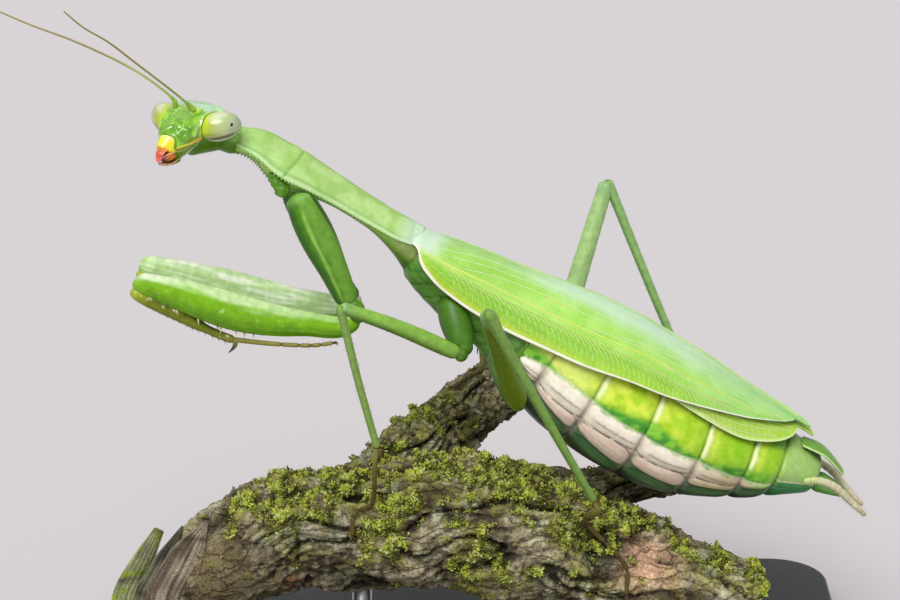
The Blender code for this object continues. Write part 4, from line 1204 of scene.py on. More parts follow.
@dataclass
class Prothorax:
    """The long roofed shield behind the head, the body under it and the soft neck."""

    line: Sequence[tuple[float, float]] = (
        (-24.0, 57.9), (-21.6, 57.0), (-19.6, 55.6), (-17.0, 54.1), (-14.2, 52.35), (-11.2, 50.4), (-8.3, 48.75),
        (-5.7, 47.6))
    width: Stops = (
        (0.0, 1.7), (0.13, 2.75), (0.27, 3.5), (0.42, 3.1), (0.58, 2.7), (0.75, 2.5), (0.9, 2.55), (1.0, 1.9))
    roof: Stops = ((0.0, 1.25), (0.13, 1.7), (0.27, 1.9), (0.5, 1.65), (0.75, 1.5), (1.0, 1.1))
    depth: Stops = ((0.0, 1.4), (0.08, 1.35), (0.16, 1.6), (0.3, 2.4), (0.42, 1.7), (0.55, 1.15), (0.74, 1.3),
        (0.87, 2.3), (1.0, 4.4))
    margin: float = 0.3
    sulcus: float = 0.31
    tooth_step: float = 0.42

    def frame(self, t: Array) -> tuple[Array, Array, Array]:
        """The middle line with its left and upward directions at t."""
        line = Line([(x, 0, z) for x, z in self.line])
        return (line.at(t), *lean(line.ahead(t)))

    def shield(self) -> tuple[Array, Array]:
        """The rows of the shield and their tints: a keel, a cross groove, and a raised lip round the edge."""
        t = np.concatenate([[0.001, 0.004], np.linspace(0.01, 0.99, 190), [0.996, 0.999]])[:, None]
        over = np.cos(np.linspace(0, np.pi, 66))[None]
        centre, left, up = self.frame(t[:, 0])
        width, roof = smooth(self.width, t), smooth(self.roof, t)
        ends = ease(0.0, 0.012, t) * ease(1.0, 0.99, t)
        off = np.abs(over)
        groove = self.sulcus - 0.045 * off**1.5
        lift = (roof * (1 - off**1.7) - 0.1 + 0.07 * hump(over, 0, 0.05) + 0.1 * hump(off, 0.94, 0.05)
            - 0.17 * hump(t, groove, 0.007) * ease(1.0, 0.8, off) + 0.09 * hump(t, groove - 0.03, 0.02) * (1 - off)
            + 0.07 * hump(t, groove + 0.035, 0.02) * (1 - off) - 0.08 * hump(t, 0.045, 0.01)
            - 0.07 * hump(t, 0.945, 0.012) - 0.05 * hump(off, 0.8, 0.08))
        lift = (lift - 0.05 * (1 - off) * hump(over, 0, 0.16) * ease(0.34, 0.4, t)) * ends
        half = width * (0.4 + 0.6 * ends**0.5)
        top = (centre[:, None] + left[:, None] * (half * over)[..., None] + up[:, None] * lift[..., None])
        below = np.linspace(-1, 1, 26)[None, 1:-1]
        drop = -self.margin * ends * (1 - 0.6 * np.abs(below) ** 6)
        low = (centre[:, None] + left[:, None] * (half * below * 0.985)[..., None] + up[:, None] * drop[..., None])
        blotch = grain(top, 1.6, 2)
        tints = coats("#BCE08E", ("#A6D070", ease(0.0, 0.6, blotch + 0.3 * (1 - off))),
            ("#9CCB68", ease(0.3, 0.05, t) * 0.55 + 0 * off), ("#CBE9BA", hump(off, 0.95, 0.05) * 0.5),
            ("#79B555", hump(off, 0.84, 0.05) * 0.5 + hump(t, groove, 0.006) * 0.6),
            ("#CFEBD8", ease(0.84, 0.97, t) * 0.7 + 0 * off),
            ("#A6D65E", hump(t, self.sulcus - 0.05, 0.035) * (1 - off) * 0.5))
        dull = np.broadcast_to(linear("#7FA85A"), low.shape)
        return np.concatenate([top, low], 1), np.concatenate([tints, dull], 1)

    def teeth(self) -> Spots:
        """The small blunt teeth along both edges of the shield."""
        spots = Spots()
        steps = np.arange(0.03, 0.9, self.tooth_step / 23)
        centre, left, up = self.frame(steps)
        reach = smooth(self.width, steps)[:, None]
        for side in (1.0, -1.0):
            size = 0.2 + 0.1 * np.abs(np.sin(steps * 90)) * ease(0.5, 0.2, steps)
            spots.put(centre + left * side * (reach - 0.05) - up * 0.08, left * side - up * 0.35, size,
                      "#A9CF7A")
        return spots

    def body(self, shells: Shells) -> None:
        """Lofts the body under the shield into the skin, with a lower keel and shallow plates."""
        t = np.linspace(0.0, 1.0, 100)[:, None]
        turn = np.linspace(0, 2 * np.pi, 56, endpoint=False)[None]
        centre, left, up = self.frame(t[:, 0])
        width, depth = smooth(self.width, t), smooth(self.depth, t)
        below = np.maximum(0.0, -np.sin(turn))
        drop = (-self.margin + 0.02 * np.sin(turn) - (depth - self.margin) * below**0.9
            - 0.08 * hump(turn, 1.5 * np.pi, 0.16) + 0.1 * hump(t, 0.36, 0.012) * below)
        rows = (centre[:, None] + left[:, None] * (width * 0.8 * np.cos(turn))[..., None]
                + up[:, None] * drop[..., None])
        rear = ease(0.84, 0.96, t)
        # The first layer paints the underside darker as shade.
        shells.loft(rows, coats("#A9D66A", ("#6E9E22", ease(0.0, 0.7, below)),
                                ("#C8D88A", rear * ease(0.7, 0.1, below) * 0.8),
                                ("#4A7C22", rear * ease(0.3, 0.9, below) * 0.9),
                                ("#6FA51E", hump(t, 0.36, 0.02) * below)))

    def warts(self) -> Spots:
        """The short teeth along both lower edges of the body."""
        spots = Spots()
        steps = np.arange(0.03, 0.36, 0.017)
        centre, left, up = self.frame(steps)
        reach, low = smooth(self.width, steps)[:, None] * 0.62, smooth(self.depth, steps)[:, None] * 0.72
        for side in Side:
            spots.put(centre + left * side.value * reach - up * low, left * side.value * 0.7 - up, 0.24, "#4C7A14")
        return spots

    def neck(self, head: "Head", shells: Shells) -> None:
        """Lofts the soft folded neck into the skin, painted darker underneath as shade."""
        front, second = (np.array([x, 0, z - self.margin]) for x, z in self.line[:2])
        ahead = unit(second - front)
        end = front + ahead * 1.2
        Limb([head.at(0.0, -0.7, -1.0), end - ahead * 3.1, end - ahead * 1.7, end],
             ((0.0, 1.75), (0.45, 1.8), (0.75, 1.65), (1.0, 1.2)), dome=(0.3, 0.1), rows=50, columns=40).add_to(
            # The neck's underside is painted darker as shade.
            shells, lambda t, a, rows: mix("#A0D05E", "#56860A", ease(-0.45, 0.3, np.sin(a) + 0 * t)),
            lambda t, a: -0.05 - 0.06 * np.abs(np.sin(t * 16 + 0.4 * np.sin(3 * a))) * ease(0.35, 0.6, t))

    def build(self, kit: Kit) -> None:
        """Makes the shield, its teeth and the teeth under it."""
        shells = Shells()
        shells.loft(*self.shield())
        shells.piece("pronotum_shield", kit.shield, "pronotum", "pronotum")
        kit.spikes.grow(self.teeth(), "pronotum_teeth", kit.shield, "pronotum", Width=0.4, Tip=0.1, Sides=6, Steps=2)
        kit.spikes.grow(self.warts(), "prosternum_teeth", kit.skin, "cuticle", Width=0.35, Tip=0.08, Sides=6, Steps=2)


# ---------------------------------------------------------------- head


def off_line(points: Array, corners: Sequence[Place]) -> Array:
    """The distance from each point to a line through corners.

    Args:
        points: Places, the last axis holding as many values as a corner.
        corners: The corners of the line.

    Returns:
        The distances.
    """
    best = np.full(points.shape[:-1], 1e9)
    for a, b in zip(np.array(corners[:-1], float), np.array(corners[1:], float)):
        share = np.clip(((points - a) * (b - a)).sum(-1) / ((b - a) ** 2).sum(), 0, 1)[..., None]
        best = np.minimum(best, np.linalg.norm(points - a - (b - a) * share, axis=-1))
    return best


@dataclass
class Eye:
    """One compound eye: an egg set slantwise into the corner of the head, banded and with a false pupil."""

    side: float
    centre: Place = (3.18, 1.25, -1.05)
    long_axis: Place = (0.80, 0.48, -0.36)
    radii: tuple[float, float] = (2.2, 1.45)
    pupil: Place = (4.838, 1.458, -0.591)
    band_normal: Place = (-0.107, 0.548, 0.829)

    def axes(self) -> tuple[Array, Array, Array]:
        """The long axis and two across it, for the left eye."""
        long_axis = unit(np.array(self.long_axis))
        out = np.array([1.0, 0.0, 0.0])
        second = unit(out - long_axis * (out @ long_axis))
        return long_axis, second, np.cross(long_axis, second)

    def depth(self, place: Array) -> Array:
        """How far a place in the head's frame is from the eye's middle, with 1 on its surface."""
        rel = place * np.array([self.side, 1.0, 1.0]) - np.array(self.centre)
        long_axis, second, third = self.axes()
        return np.sqrt((rel @ long_axis / self.radii[0]) ** 2 + (rel @ second / self.radii[1]) ** 2
                       + (rel @ third / self.radii[1]) ** 2)

    def add_to(self, shells: Shells, head: "Head") -> None:
        """Lofts the eye."""
        b = np.linspace(0.03, np.pi - 0.03, 150)[:, None]
        a = np.linspace(0, 2 * np.pi, 150, endpoint=False)[None]
        long_axis, second, third = self.axes()
        rel = (long_axis * (-self.radii[0] * np.cos(b) + 0 * a)[..., None]
               + second * (self.radii[1] * np.sin(b) * np.cos(a))[..., None]
               + third * (self.radii[1] * np.sin(b) * np.sin(a))[..., None])
        place = (rel + np.array(self.centre)) * np.array([self.side, 1.0, 1.0])
        shells.loft(head.at(place[..., 0], place[..., 1], place[..., 2]), self.paint(rel))

    def paint(self, rel: Array) -> Array:
        """Yellow inside, olive in the middle, milky outside, a dark band low down, painted shade on the lower part, a
        painted highlight along the top, and the false pupil.
        """
        out, level = rel[..., 0] + self.centre[0], rel @ np.array(self.band_normal)
        rel = rel - (np.array(self.pupil) - np.array(self.centre))
        spot = np.sqrt(2.2 * ((rel**2).sum(-1) - rel[..., 1] ** 2) + rel[..., 1] ** 2)
        # The olive low down is painted shade and the near-white top is a painted highlight.
        return coats("#C6DC12", ("#B4C440", ease(2.6, 3.3, out)), ("#BCCB8C", ease(3.1, 4.1, out)),
            ("#A9BA98", ease(4.3, 5.1, out)), ("#8DA01E", ease(0.25, -0.35, level) * ease(4.4, 3.2, out) * 0.75),
            ("#EDF2D2", ease(0.95, 1.35, level) * ease(2.3, 3.4, out) * 0.75),
            ("#D9D8A8", hump(level, -0.4, 0.1) * ease(2.6, 3.4, out) * 0.8),
            ("#D3B8A4", hump(level, -0.46, 0.06) * ease(2.8, 3.4, out) * 0.6),
            ("#564A3E", hump(level, -0.68, 0.22) * ease(2.5, 3.0, out) * ease(5.3, 4.4, out) * 0.85),
            ("#DAE2CC", hump(level, -0.98, 0.08) * ease(2.3, 3.0, out) * 0.9), ("#6F9A3A", ease(-1.04, -1.12, level)),
            ("#C9CFA8", hump(spot, 0.3, 0.12) * 0.35), ("#050604", ease(0.23, 0.17, spot)))


@dataclass
class Head:
    """The triangular head: capsule, eyes, mouthparts and feelers, in its own frame of left, crown and face."""

    # height u, half width, front, back, roundness
    levels: Stops = (
        (-3.4, 0.95, 2.1, -0.8, 1.0), (-3.1, 1.1, 2.15, -1.0, 1.0), (-2.3, 1.5, 2.15, -1.5, 1.0),
        (-1.4, 1.95, 2.05, -1.8, 0.95), (-0.4, 2.3, 1.9, -1.95, 0.9), (0.7, 2.35, 1.65, -2.1, 0.85),
        (1.7, 2.5, 1.1, -2.15, 0.85), (2.4, 2.6, 0.45, -2.1, 0.9), (3.1, 2.2, -0.25, -1.85, 0.95),
        (3.4, 1.5, -0.75, -1.45, 1.0))
    skew: float = 0.25  # the soft mouth and the face plates sit a little to the left
    shield_edge: Sequence[Place] = ((0.0, 1.45), (0.7, 1.5), (0.95, 1.1), (0.84, 0.15), (1.0, -0.4))
    orbit_ridge: Sequence[Place] = ((1.9, 1.3), (1.97, 0.4), (1.92, -0.2), (1.93, -0.6), (1.85, -0.95))
    creases: Sequence[Sequence[Place]] = (((1.81, 0.78), (1.74, 0.3), (1.61, -0.23)), ((0.09, -0.29), (0.56, -0.59)),
                                          ((1.04, -0.7), (0.95, -1.17), (0.8, -1.5)),
                                          ((0.24, -0.83), (0.6, -1.2), (0.98, -1.44)))
    boss: Sequence[Place] = ((1.41, -0.81), (1.55, -1.2), (1.42, -1.64))
    clypeus: tuple[float, float, float] = (0.82, -1.95, -3.6)  # half width, top, lower end
    cheek_stripe: Sequence[Place] = (
        (2.13, -0.69, -0.52), (2.06, -1.06, -0.12), (1.93, -1.44, 0.14), (1.76, -1.77, 0.37), (1.58, -2.09, 0.6),
        (1.4, -2.39, 0.85), (1.24, -2.63, 1.02), (1.1, -2.95, 1.1))
    cheek_fold: Sequence[Place] = (
        (1.74, -1.75, -0.12), (1.69, -1.9, -0.02), (1.41, -2.47, 0.47), (1.15, -2.93, 0.92))
    socket: Place = (1.1, 1.6, 0.95)
    feelers: dict = field(default_factory=lambda: {
        "left": [(-30.1, -8.6, 65.25), (-33.0, -10.2, 68.1), (-35.1, -11.8, 70.3), (-37.3, -13.4, 72.15),
                 (-38.8, -15.0, 74.0)],
        "right": [(-32.2, -2.8, 64.4), (-34.6, -2.4, 65.8), (-37.6, -2.0, 67.2), (-40.3, -1.7, 68.3),
                  (-43.5, -1.3, 69.4), (-46.7, -0.9, 70.7), (-47.9, -0.5, 71.2)]})
    feeler_roots: dict = field(default_factory=lambda: {"left": [(1.12, 1.6, 0.9), (0.84, 1.75, 1.9)],
                                                        "right": [(-1.12, 1.6, 0.9), (-1.03, 2.0, 1.9)]})
    ring_step: float = 0.34  # length of one ring of a feeler

    def __post_init__(self) -> None:
        """Works out the head's directions and its two eyes."""
        flat = math.cos(HEAD_PITCH)
        self.face = np.array([-flat * math.cos(HEAD_YAW), -flat * math.sin(HEAD_YAW), math.sin(HEAD_PITCH)])
        self.left = np.array([math.sin(HEAD_YAW), -math.cos(HEAD_YAW), 0.0])
        self.crown = np.cross(self.face, self.left)
        self.eyes = [Eye(1.0), Eye(-1.0)]

    def at(self, l: Array | float, u: Array | float, f: Array | float) -> Array:
        """Places in the head's frame."""
        l, u, f = np.broadcast_arrays(l, u, f)
        return HEAD_CENTRE + l[..., None] * self.left + u[..., None] * self.crown + f[..., None] * self.face

    def path(self, places: Sequence[Place]) -> list[Array]:
        """A short line given in the head's frame."""
        return [self.at(*p) for p in places]

    def capsule(self, shells: Shells) -> None:
        """Lofts the capsule with its raised plates, grooves, creases and eye rims, and the arch of the crown."""
        u = np.concatenate([np.linspace(-3.4, 3.36, 200), np.full(4, 3.4)])[:, None]
        close = np.concatenate([np.ones(200), [0.93, 0.7, 0.4, 0.15]])[:, None]
        turn = np.linspace(0, 2 * np.pi, 250, endpoint=False)[None]
        half, front, back, bend = np.moveaxis(smooth(self.levels, u), -1, 0)
        c, s = np.cos(turn), np.sin(turn)
        l = np.sign(c) * np.abs(c) ** bend * half * close
        f = (front + back) / 2 + np.sign(s) * np.abs(s) ** bend * (front - back) / 2 * close
        ahead, high = ease(-0.4, 0.7, f), u + 0 * l
        wide = np.abs(l - self.skew * ahead)
        flat, deep = np.stack([wide, high], -1), np.stack([np.abs(l), high, f], -1)
        plate, orbit = off_line(flat, self.shield_edge), off_line(flat, self.orbit_ridge)
        crease = np.min([off_line(flat, line) for line in self.creases], axis=0)
        stripe, fold = off_line(deep, self.cheek_stripe), off_line(deep, self.cheek_fold)
        width, top, low = self.clypeus
        edge = ((wide / width) ** 4 + (np.abs(high - (top + low) / 2) / ((top - low) / 2)) ** 4) ** 0.25
        in_clypeus = ease(1.04, 0.9, edge) * ahead
        in_plate = ahead * ease(1.75, 1.5, wide) * ease(-2.1, -1.7, u) * ease(1.6, 1.35, u)
        rim = np.minimum(*[eye.depth(np.stack([l, high, f], -1)) for eye in self.eyes])
        sockets = off_line(flat, [self.socket[:2], (self.socket[0] + 0.001, self.socket[1])])
        lift = (-0.08 + ahead * (0.1 * hump(plate, 0, 0.1) + 0.18 * hump(orbit, 0, 0.12))
            + ahead * 0.08 * hump(crease, 0, 0.19) * (1 - in_clypeus)
            + ahead * 0.16 * hump(off_line(flat, self.boss), 0, 0.2) - 0.09 * in_plate * ease(-0.6, 0.2, u)
            + in_clypeus * (0.12 + 0.12 * hump(wide, 0.0, 0.75)) - 0.1 * ahead * hump(edge, 1.1, 0.07)
            + 0.1 * hump(stripe, 0, 0.14) - 0.07 * hump(fold, 0, 0.08) + 0.12 * hump(rim, 1.09, 0.045)
            + ahead * (0.16 * hump(sockets, 0.4, 0.09) - 0.1 * hump(sockets, 0.0, 0.28)) - 0.05 * hump(l, 0, 0.08)
            * ease(1.9, 2.3, u) + 0.04 * grain(self.at(l, u, f), 0.75, 4) * ahead * (1 - in_clypeus))
        rows = self.at(l + lift * c, u + 0.25 * lift * ease(2.0, 2.7, u), f + lift * s)
        zones = {"plate": plate, "orbit": orbit, "crease": crease, "stripe": stripe, "fold": fold,
                 "clypeus": in_clypeus, "edge": edge, "rim": rim, "inside": in_plate, "ahead": ahead,
                 "sockets": sockets, "wide": wide}
        shells.loft(rows, self.paint(l, high, f, zones, rows))
        arch = [(-3.2, 2.6, -1.5), (-1.8, 2.83, -1.3), (0, 2.88, -1.25), (1.8, 2.83, -1.3), (3.2, 2.6, -1.5)]
        Limb(self.path(arch), ((0.0, 0.6), (0.5, 0.72), (1.0, 0.6)), 1.1, tuple(self.face), rows=90,
             columns=44).add_to(shells, lambda t, a, rows: mix("#DCF6D8", "#B4E8A8",
                                                               ease(0.0, 0.8, np.cos(a) + grain(rows, 0.8, 7))))

    def paint(self, l: Array, u: Array, f: Array, z: dict[str, Array], rows: Array) -> Array:
        """Glossy leaf green face with painted highlights along its ridges, a mint crown partly painted as sheen, dark
        cheeks, and the yellow lower plate and stripe.
        """
        blotch, open_face = grain(rows, 0.6, 6), z["ahead"] * (1 - z["clypeus"])
        # The ridges, creases and plate edges get a pale tint: a painted highlight.
        ridge = hump(z["orbit"], 0, 0.1) + 0.3 * hump(z["crease"], 0, 0.12) + 0.4 * hump(z["plate"], 0, 0.08)
        fat = 0.1 + 0.12 * ease(-2.2, -0.9, u)
        stripe = mix("#E8B42A", "#E6DC1E", ease(-0.9, -1.8, u))
        tints = coats("#9AD42C", ("#6CB012", ease(-0.25, 0.4, blotch)),
            ("#8CBE55", z["inside"] * ease(-0.3, 0.5, u) * ease(1.25, 0.8, z["wide"]) * 0.8),
            # The pale mint crown is partly its own tone and partly a painted sheen where the top of the head faces
            # the light.
            ("#5A9E08", z["inside"] * ease(0.1, -0.7, u) * 0.5), ("#CDF0C8", ease(1.5, 2.2, u - 0.3 * f) * 0.9),
            ("#9CD85A", hump(u - 0.3 * f, 1.5, 0.25) * 0.5),
            ("#7CA80A", ease(-0.5, -1.4, u) * ease(0.7, -0.1, f - 0.5 * l) * 0.9),
            ("#C6EC8C", open_face * np.clip(ridge, 0, 1) * 0.6), ("#CDE8A8", hump(z["rim"], 1.1, 0.035) * 0.7),
            ("#3F6A10", hump(z["rim"], 1.02, 0.02) * 0.5),
            ("#C8E02A", z["ahead"] * ease(0.5, 0.3, z["sockets"]) * 0.8), ("#AE7048", hump(z["fold"], 0, 0.07) * 0.8),
            ("#D8DC9A", hump(z["fold"], 0.16, 0.06) * ease(-1.6, -2.0, u) * 0.5),
            (stripe, ease(fat + 0.08, fat - 0.03, z["stripe"])),
            ("#2F6A0A", z["ahead"] * hump(z["edge"], 1.12, 0.06) * 0.6))
        lemon = coats("#FFF200", ("#EEF27E", ease(-2.75, -2.2, u) * 0.75), ("#F0A018", ease(-3.1, -3.4, u) * 0.8))
        return np.clip(mix(tints, lemon, ease(0.3, 0.75, z["clypeus"])), 0, 1)

    def ocelli(self, shells: Shells) -> None:
        """The three simple eyes between the feelers."""
        for l, u, f in ((0.0, 1.75, 0.88), (0.3, 2.1, 0.62), (-0.3, 2.1, 0.62)):
            start = self.at(l + 0.6 * self.skew, u, f)
            Limb([start, start + self.face * 0.2 + self.crown * 0.1], ((0, 0.13), (1, 0.12)), rows=4, columns=14,
                 across=tuple(self.left)).add_to(shells, "#C9C04A")

    def mouthparts(self) -> Shells:
        """Upper lip, jaws, lower lip and the jointed palps."""
        shells = Shells()

        def part(places: Sequence[Place], depth: Stops, flat: float, tones: tuple[str, str, str],
                 relief: Relief | None = None, columns: int = 24) -> None:
            """Adds one mouth part that goes through three tones from root to tip."""
            first, middle, last = tones
            Limb(self.path([(l + self.skew, u, f) for l, u, f in places]), depth, flat, tuple(self.left), rows=46,
                 columns=columns).add_to(shells, along(first, (middle, 0.05, 0.45), (last, 0.5, 0.95)), relief)

        part([(0, -3.3, 1.9), (-0.03, -4.0, 2.0), (0, -4.78, 1.72)], ((0, 0.15), (0.5, 0.12), (1, 0.06)), 3.9,
             ("#E8902A", "#DB5A44", "#E87878"), lambda t, a: -0.04 * hump(t, 0.2, 0.05)
             + 0.05 * hump(np.cos(a), 0, 0.25), 44)
        for side in (1.0, -1.0):
            part([(side * 0.95, -2.9, 0.85), (side * 0.78, -3.22, 1.14), (side * 0.58, -3.52, 1.36),
                  (side * 0.36, -3.95, 1.6), (side * 0.12, -4.45, 1.76)], ((0, 0.06), (0.5, 0.085), (1, 0.07)), 1.2,
                 ("#B9A05A", "#E3B48A", "#E9A08C"))
            part([(side * 0.5, -3.1, 0.55), (side * 0.5, -3.55, 0.95), (side * 0.32, -4.05, 1.25),
                  (side * 0.1, -4.4, 1.4)], ((0, 0.46), (0.5, 0.36), (1, 0.12)), 0.8,
                 ("#C05A08", "#D8701E", "#5E1E0C"), lambda t, a: 0.06 * np.sin(5 * a + 9 * t))
            part([(side * 0.82, -2.95, -0.2), (side * 0.74, -3.5, 0.05), (side * 0.55, -4.1, 0.4),
                  (side * 0.3, -4.6, 0.95), (side * 0.08, -4.84, 1.45)], ((0, 0.12), (0.6, 0.1), (1, 0.07)), 1.0,
                 ("#7E8C24", "#D0A078", "#E9A890"), lambda t, a: -0.03 * hump(np.sin(np.pi * t * 4), 0, 0.25), 16)
        part([(0, -3.1, -0.5), (0, -3.7, -0.1), (0, -4.25, 0.5), (0, -4.72, 1.35)],
             ((0, 0.24), (0.5, 0.17), (1, 0.08)), 3.4, ("#5E7A14", "#9A8A4A", "#E9A890"),
             lambda t, a: -0.05 * hump(np.cos(a), 0, 0.1), 44)
        return shells

    def feeler(self, name: str) -> Strands:
        """One antenna: two stout joints, then a long thread of fine rings."""
        line = Line(self.path(self.feeler_roots[name]) + self.feelers[name])
        t = np.linspace(0, 1, int(line.length / 0.085))
        far = t * line.length
        thick = np.interp(far, [0, 0.15, 0.9, 1.05, 1.15, 1.5, 1.62, 1.8, 12, line.length],
                          [0.2, 0.3, 0.25, 0.16, 0.2, 0.17, 0.12, 0.125, 0.105, 0.07])
        joint = np.abs(np.sin(np.pi * far / self.ring_step))
        thick = thick * (1 - 0.14 * hump(joint, 0, 0.35) * ease(1.6, 1.9, far))
        tint = mix("#A9B860", "#9C8A4C", ease(3, 11, far))
        tint = coats("#9CC24A", (tint, ease(1.0, 2.6, far)),
            ("#6B5A2A", hump(joint, 0, 0.3) * ease(1.6, 3.0, far) * 0.5))
        strands = Strands()
        strands.run(line.at(t), thick, tint)
        return strands

    def build(self, kit: Kit) -> None:
        """Makes capsule, eyes, mouthparts and feelers."""
        shells = Shells()
        self.capsule(shells)
        self.ocelli(shells)
        shells.piece("head_capsule", kit.face, "cuticle", "head")
        for side, eye in zip(Side, self.eyes):
            shells = Shells()
            eye.add_to(shells, self)
            shells.piece(f"eye_{side.word}_lens", kit.lens, "eyes", "eye_" + side.word)
            kit.threads.grow(self.feeler(side.word), f"antenna_{side.word}_thread", kit.feeler, "feelers",
                             "antenna_" + side.word, Sides=10)
        self.mouthparts().piece("mouth_pieces", kit.mouth, "mouthparts", "mouthparts")


# ---------------------------------------------------------------- legs


def lit(rows: Array) -> Array:
    """How far each vertex of a limb looks up and to the animal's left, towards the light, -1 to 1; the painters use
    it to paint shade.
    """
    return unit(rows - rows.mean(1, keepdims=True)) @ unit(np.array([0.1, -0.6, 0.8]))


def segments(t: Array, joints: Sequence[float], width: float) -> Array:
    """How near each t is to a joint, 1 on it."""
    return sum(hump(t, joint, width) for joint in joints)


@dataclass
class Foreleg:
    """A grasping leg: coxa, spined femur, folded tibia with its hooked claw, and a thin foot."""

    side: float  # -1 on the left, 1 on the right
    coxa_depth: Stops = ((0.0, 1.2), (0.2, 1.6), (0.45, 1.72), (0.75, 1.4), (1.0, 1.1))
    femur_depth: Stops = (
        (0.0, 0.9), (0.1, 1.15), (0.25, 1.35), (0.42, 1.8), (0.58, 1.98), (0.72, 1.8), (0.88, 1.42), (1.0, 1.15))
    tibia_depth: Stops = ((0.0, 0.6), (0.12, 0.74), (0.4, 0.74), (0.62, 0.62), (0.74, 0.42))
    foot_joints: Sequence[float] = (0.48, 0.66, 0.78, 0.88)
    inner_spines: int = 14
    tibia_spines: int = 13

    def __post_init__(self) -> None:
        """Lays the joints out."""
        out, top = self.side * 3.4 - 0.4, self.side * 2.6 - 0.4
        back = 0.0 if self.side < 0 else -0.9
        lift = -0.15 * self.side
        self.hinge = [(-20.6 + back, self.side * 2.0 - 0.4, 55.0), (-19.9 + back, self.side * 2.2 - 0.4, 53.9),
                      (-19.1 + back, self.side * 2.5 - 0.4, 52.6)]
        self.coxa = [(-18.1 + back, top, 52.9), (-16.9 + back, top + self.side * 0.4, 50.2),
                     (-14.7 + back, out, 45.9), (-12.9 + back, out, 41.6)]
        self.trochanter = [(-13.2 + back, out, 42.1 + 0.4 * back), (-12.2 + back, out, 40.9 + 0.2 * back),
                           (-12.6 + back * 0.5, out, 39.9)]
        self.femur = [(-12.0, out, 40.3), (-13.9, out, 39.4), (-17.0, out, 39.7), (-20.5, out, 40.1),
                      (-24.0, out, 40.85), (-27.5, out, 41.9 + lift / 2), (-30.6, out, 42.9 + lift),
                      (-34.3, out, 43.9 + lift)]
        self.tibia = [(-34.1, out, 43.4 + lift), (-33.9, out, 42.8 + lift), (-31.7, out, 41.7), (-29.4, out, 40.5),
                      (-27.4, out, 39.35), (-25.6, out, 38.5), (-24.4, out, 38.05)]
        self.claw = [(-25.0, out, 38.25), (-24.35, out, 38.0), (-24.4, out, 37.4), (-25.0, out, 36.7)]
        self.foot = [(-24.4, out, 38.1), (-21.5, out, 37.75), (-18.9, out, 37.55), (-16.5, out, 37.5),
                     (-14.6, out, 37.75)]

    def paint_coxa(self, t: Array, a: Array, rows: Array) -> Array:
        """Dark in front, a bright slanting ridge down the outer face, and a bluer green behind."""
        high = np.sin(a) + 0 * t
        ridge = hump(high, 0.15 + 0.35 * (t - 0.5), 0.1) * ease(0.06, 0.25, t) * ease(0.98, 0.8, t)
        return coats("#6EA234", ("#4A840E", ease(-0.3, 0.35, high + 0.3 * grain(rows, 1.2, 50))),
            ("#2C5E06", ease(0.25, 0.8, high) * 0.95), ("#A6D45E", ridge * 0.75),
            ("#8CBE5A", ease(0.12, 0.0, t) * 0.6 + 0 * a))

    def paint_femur(self, t: Array, a: Array, rows: Array) -> Array:
        """Bright green faces, a pale streaked upper edge and irregular pale specks that are painted glints; the far
        leg's lit faces get a paler painted highlight with white streaks.
        """
        high = np.sin(a) + 0 * t
        streak = grain(np.stack([7.0 * t + 0 * a, np.cos(a) + 0 * t, 5.0 * high], -1), 1.0, 52)
        tints = coats("#7DB80E", ("#639A04", ease(0.3, -0.7, high + 0.4 * grain(rows, 1.6, 51))),
            ("#CBE6A6", ease(0.42, 0.85, high + 0.25 * streak) * (0.35 + 0.55 * ease(0.1, 0.4, t))),
            ("#E4F0CE", ease(0.5, 0.9, high) * ease(0.78, 0.97, t) * 0.9))
        if self.side > 0:
            # The far leg's lit faces are painted paler with white streaks: painted highlight.
            inner = ease(-0.7, 0.0, lit(rows))
            tints = coats(tints, ("#C6DFA6", 0.75 * inner), ("#F2F7E6", ease(0.0, 0.4, streak) * 0.7 * inner))
        # The pale specks are painted glints.
        specks = ease(0.47, 0.58, grain(rows, 0.42, 53)) * hump(high, 0.05, 0.3) * ease(0.95, 0.85, t)
        return coats(tints, ("#CFE59A", specks * 0.6), ("#8FBE2C", hump(t, 0.985, 0.02) * 0.5 + 0 * a))

    def paint_tibia(self, t: Array, a: Array, rows: Array) -> Array:
        """Olive yellow with a yellower knee and a few white specks."""
        return coats("#747E0A", ("#56600C", ease(0.2, -0.8, np.sin(a)) + 0 * t),
            ("#A4B21E", ease(0.2, 0.04, t) + 0 * a), ("#8C8432", ease(0.75, 1.0, t) * 0.7 + 0 * a),
            ("#E6E8C4", ease(0.45, 0.6, grain(rows, 0.4, 54)) * 0.6))

    def relief_femur(self, t: Array, a: Array) -> Array:
        """A sharp upper edge, flat cheeks and the channel that the tibia folds into."""
        sharp = 0.14 * hump(a, np.pi / 2, 0.28) - 0.05 * hump(a, np.pi / 2, 0.9)
        channel = -0.32 * hump(a, 1.5 * np.pi, 0.34) * ease(0.3, 0.5, t)
        banks = 0.12 * (hump(a, 1.5 * np.pi - 0.62, 0.16) + hump(a, 1.5 * np.pi + 0.62, 0.16)) * ease(0.28, 0.45, t)
        line = -0.04 * (hump(np.sin(a), 0.35, 0.06) + hump(np.sin(a), -0.35, 0.06))
        return -0.06 + sharp + channel + banks + line + 0.03 * np.sin(9 * a) * hump(np.sin(a), -0.7, 0.3)

    def spines(self, femur: Array, tibia: Array, coxa: Array) -> Spots:
        """Two rows under the femur, two along the tibia and a few down the coxa.

        Args:
            femur: The femur's rows of points.
            tibia: The tibia's rows of points.
            coxa: The coxa's rows of points.

        Returns:
            The marked places.
        """
        spots = Spots()

        def row(limb: Array, turn: float, start: float, end: float, count: int, size: Array, aim: Place,
                tint: str) -> None:
            """Marks one row of spines along a limb at an angle round it."""
            at = (np.linspace(start, end, count) * (len(limb) - 1)).astype(int)
            places = limb[at, int(round(turn / 360 * limb.shape[1])) % limb.shape[1]]
            out = unit(places - limb[at].mean(1))
            spots.put(places - out * 0.06, out * 0.7 + np.array(aim), size, tint)

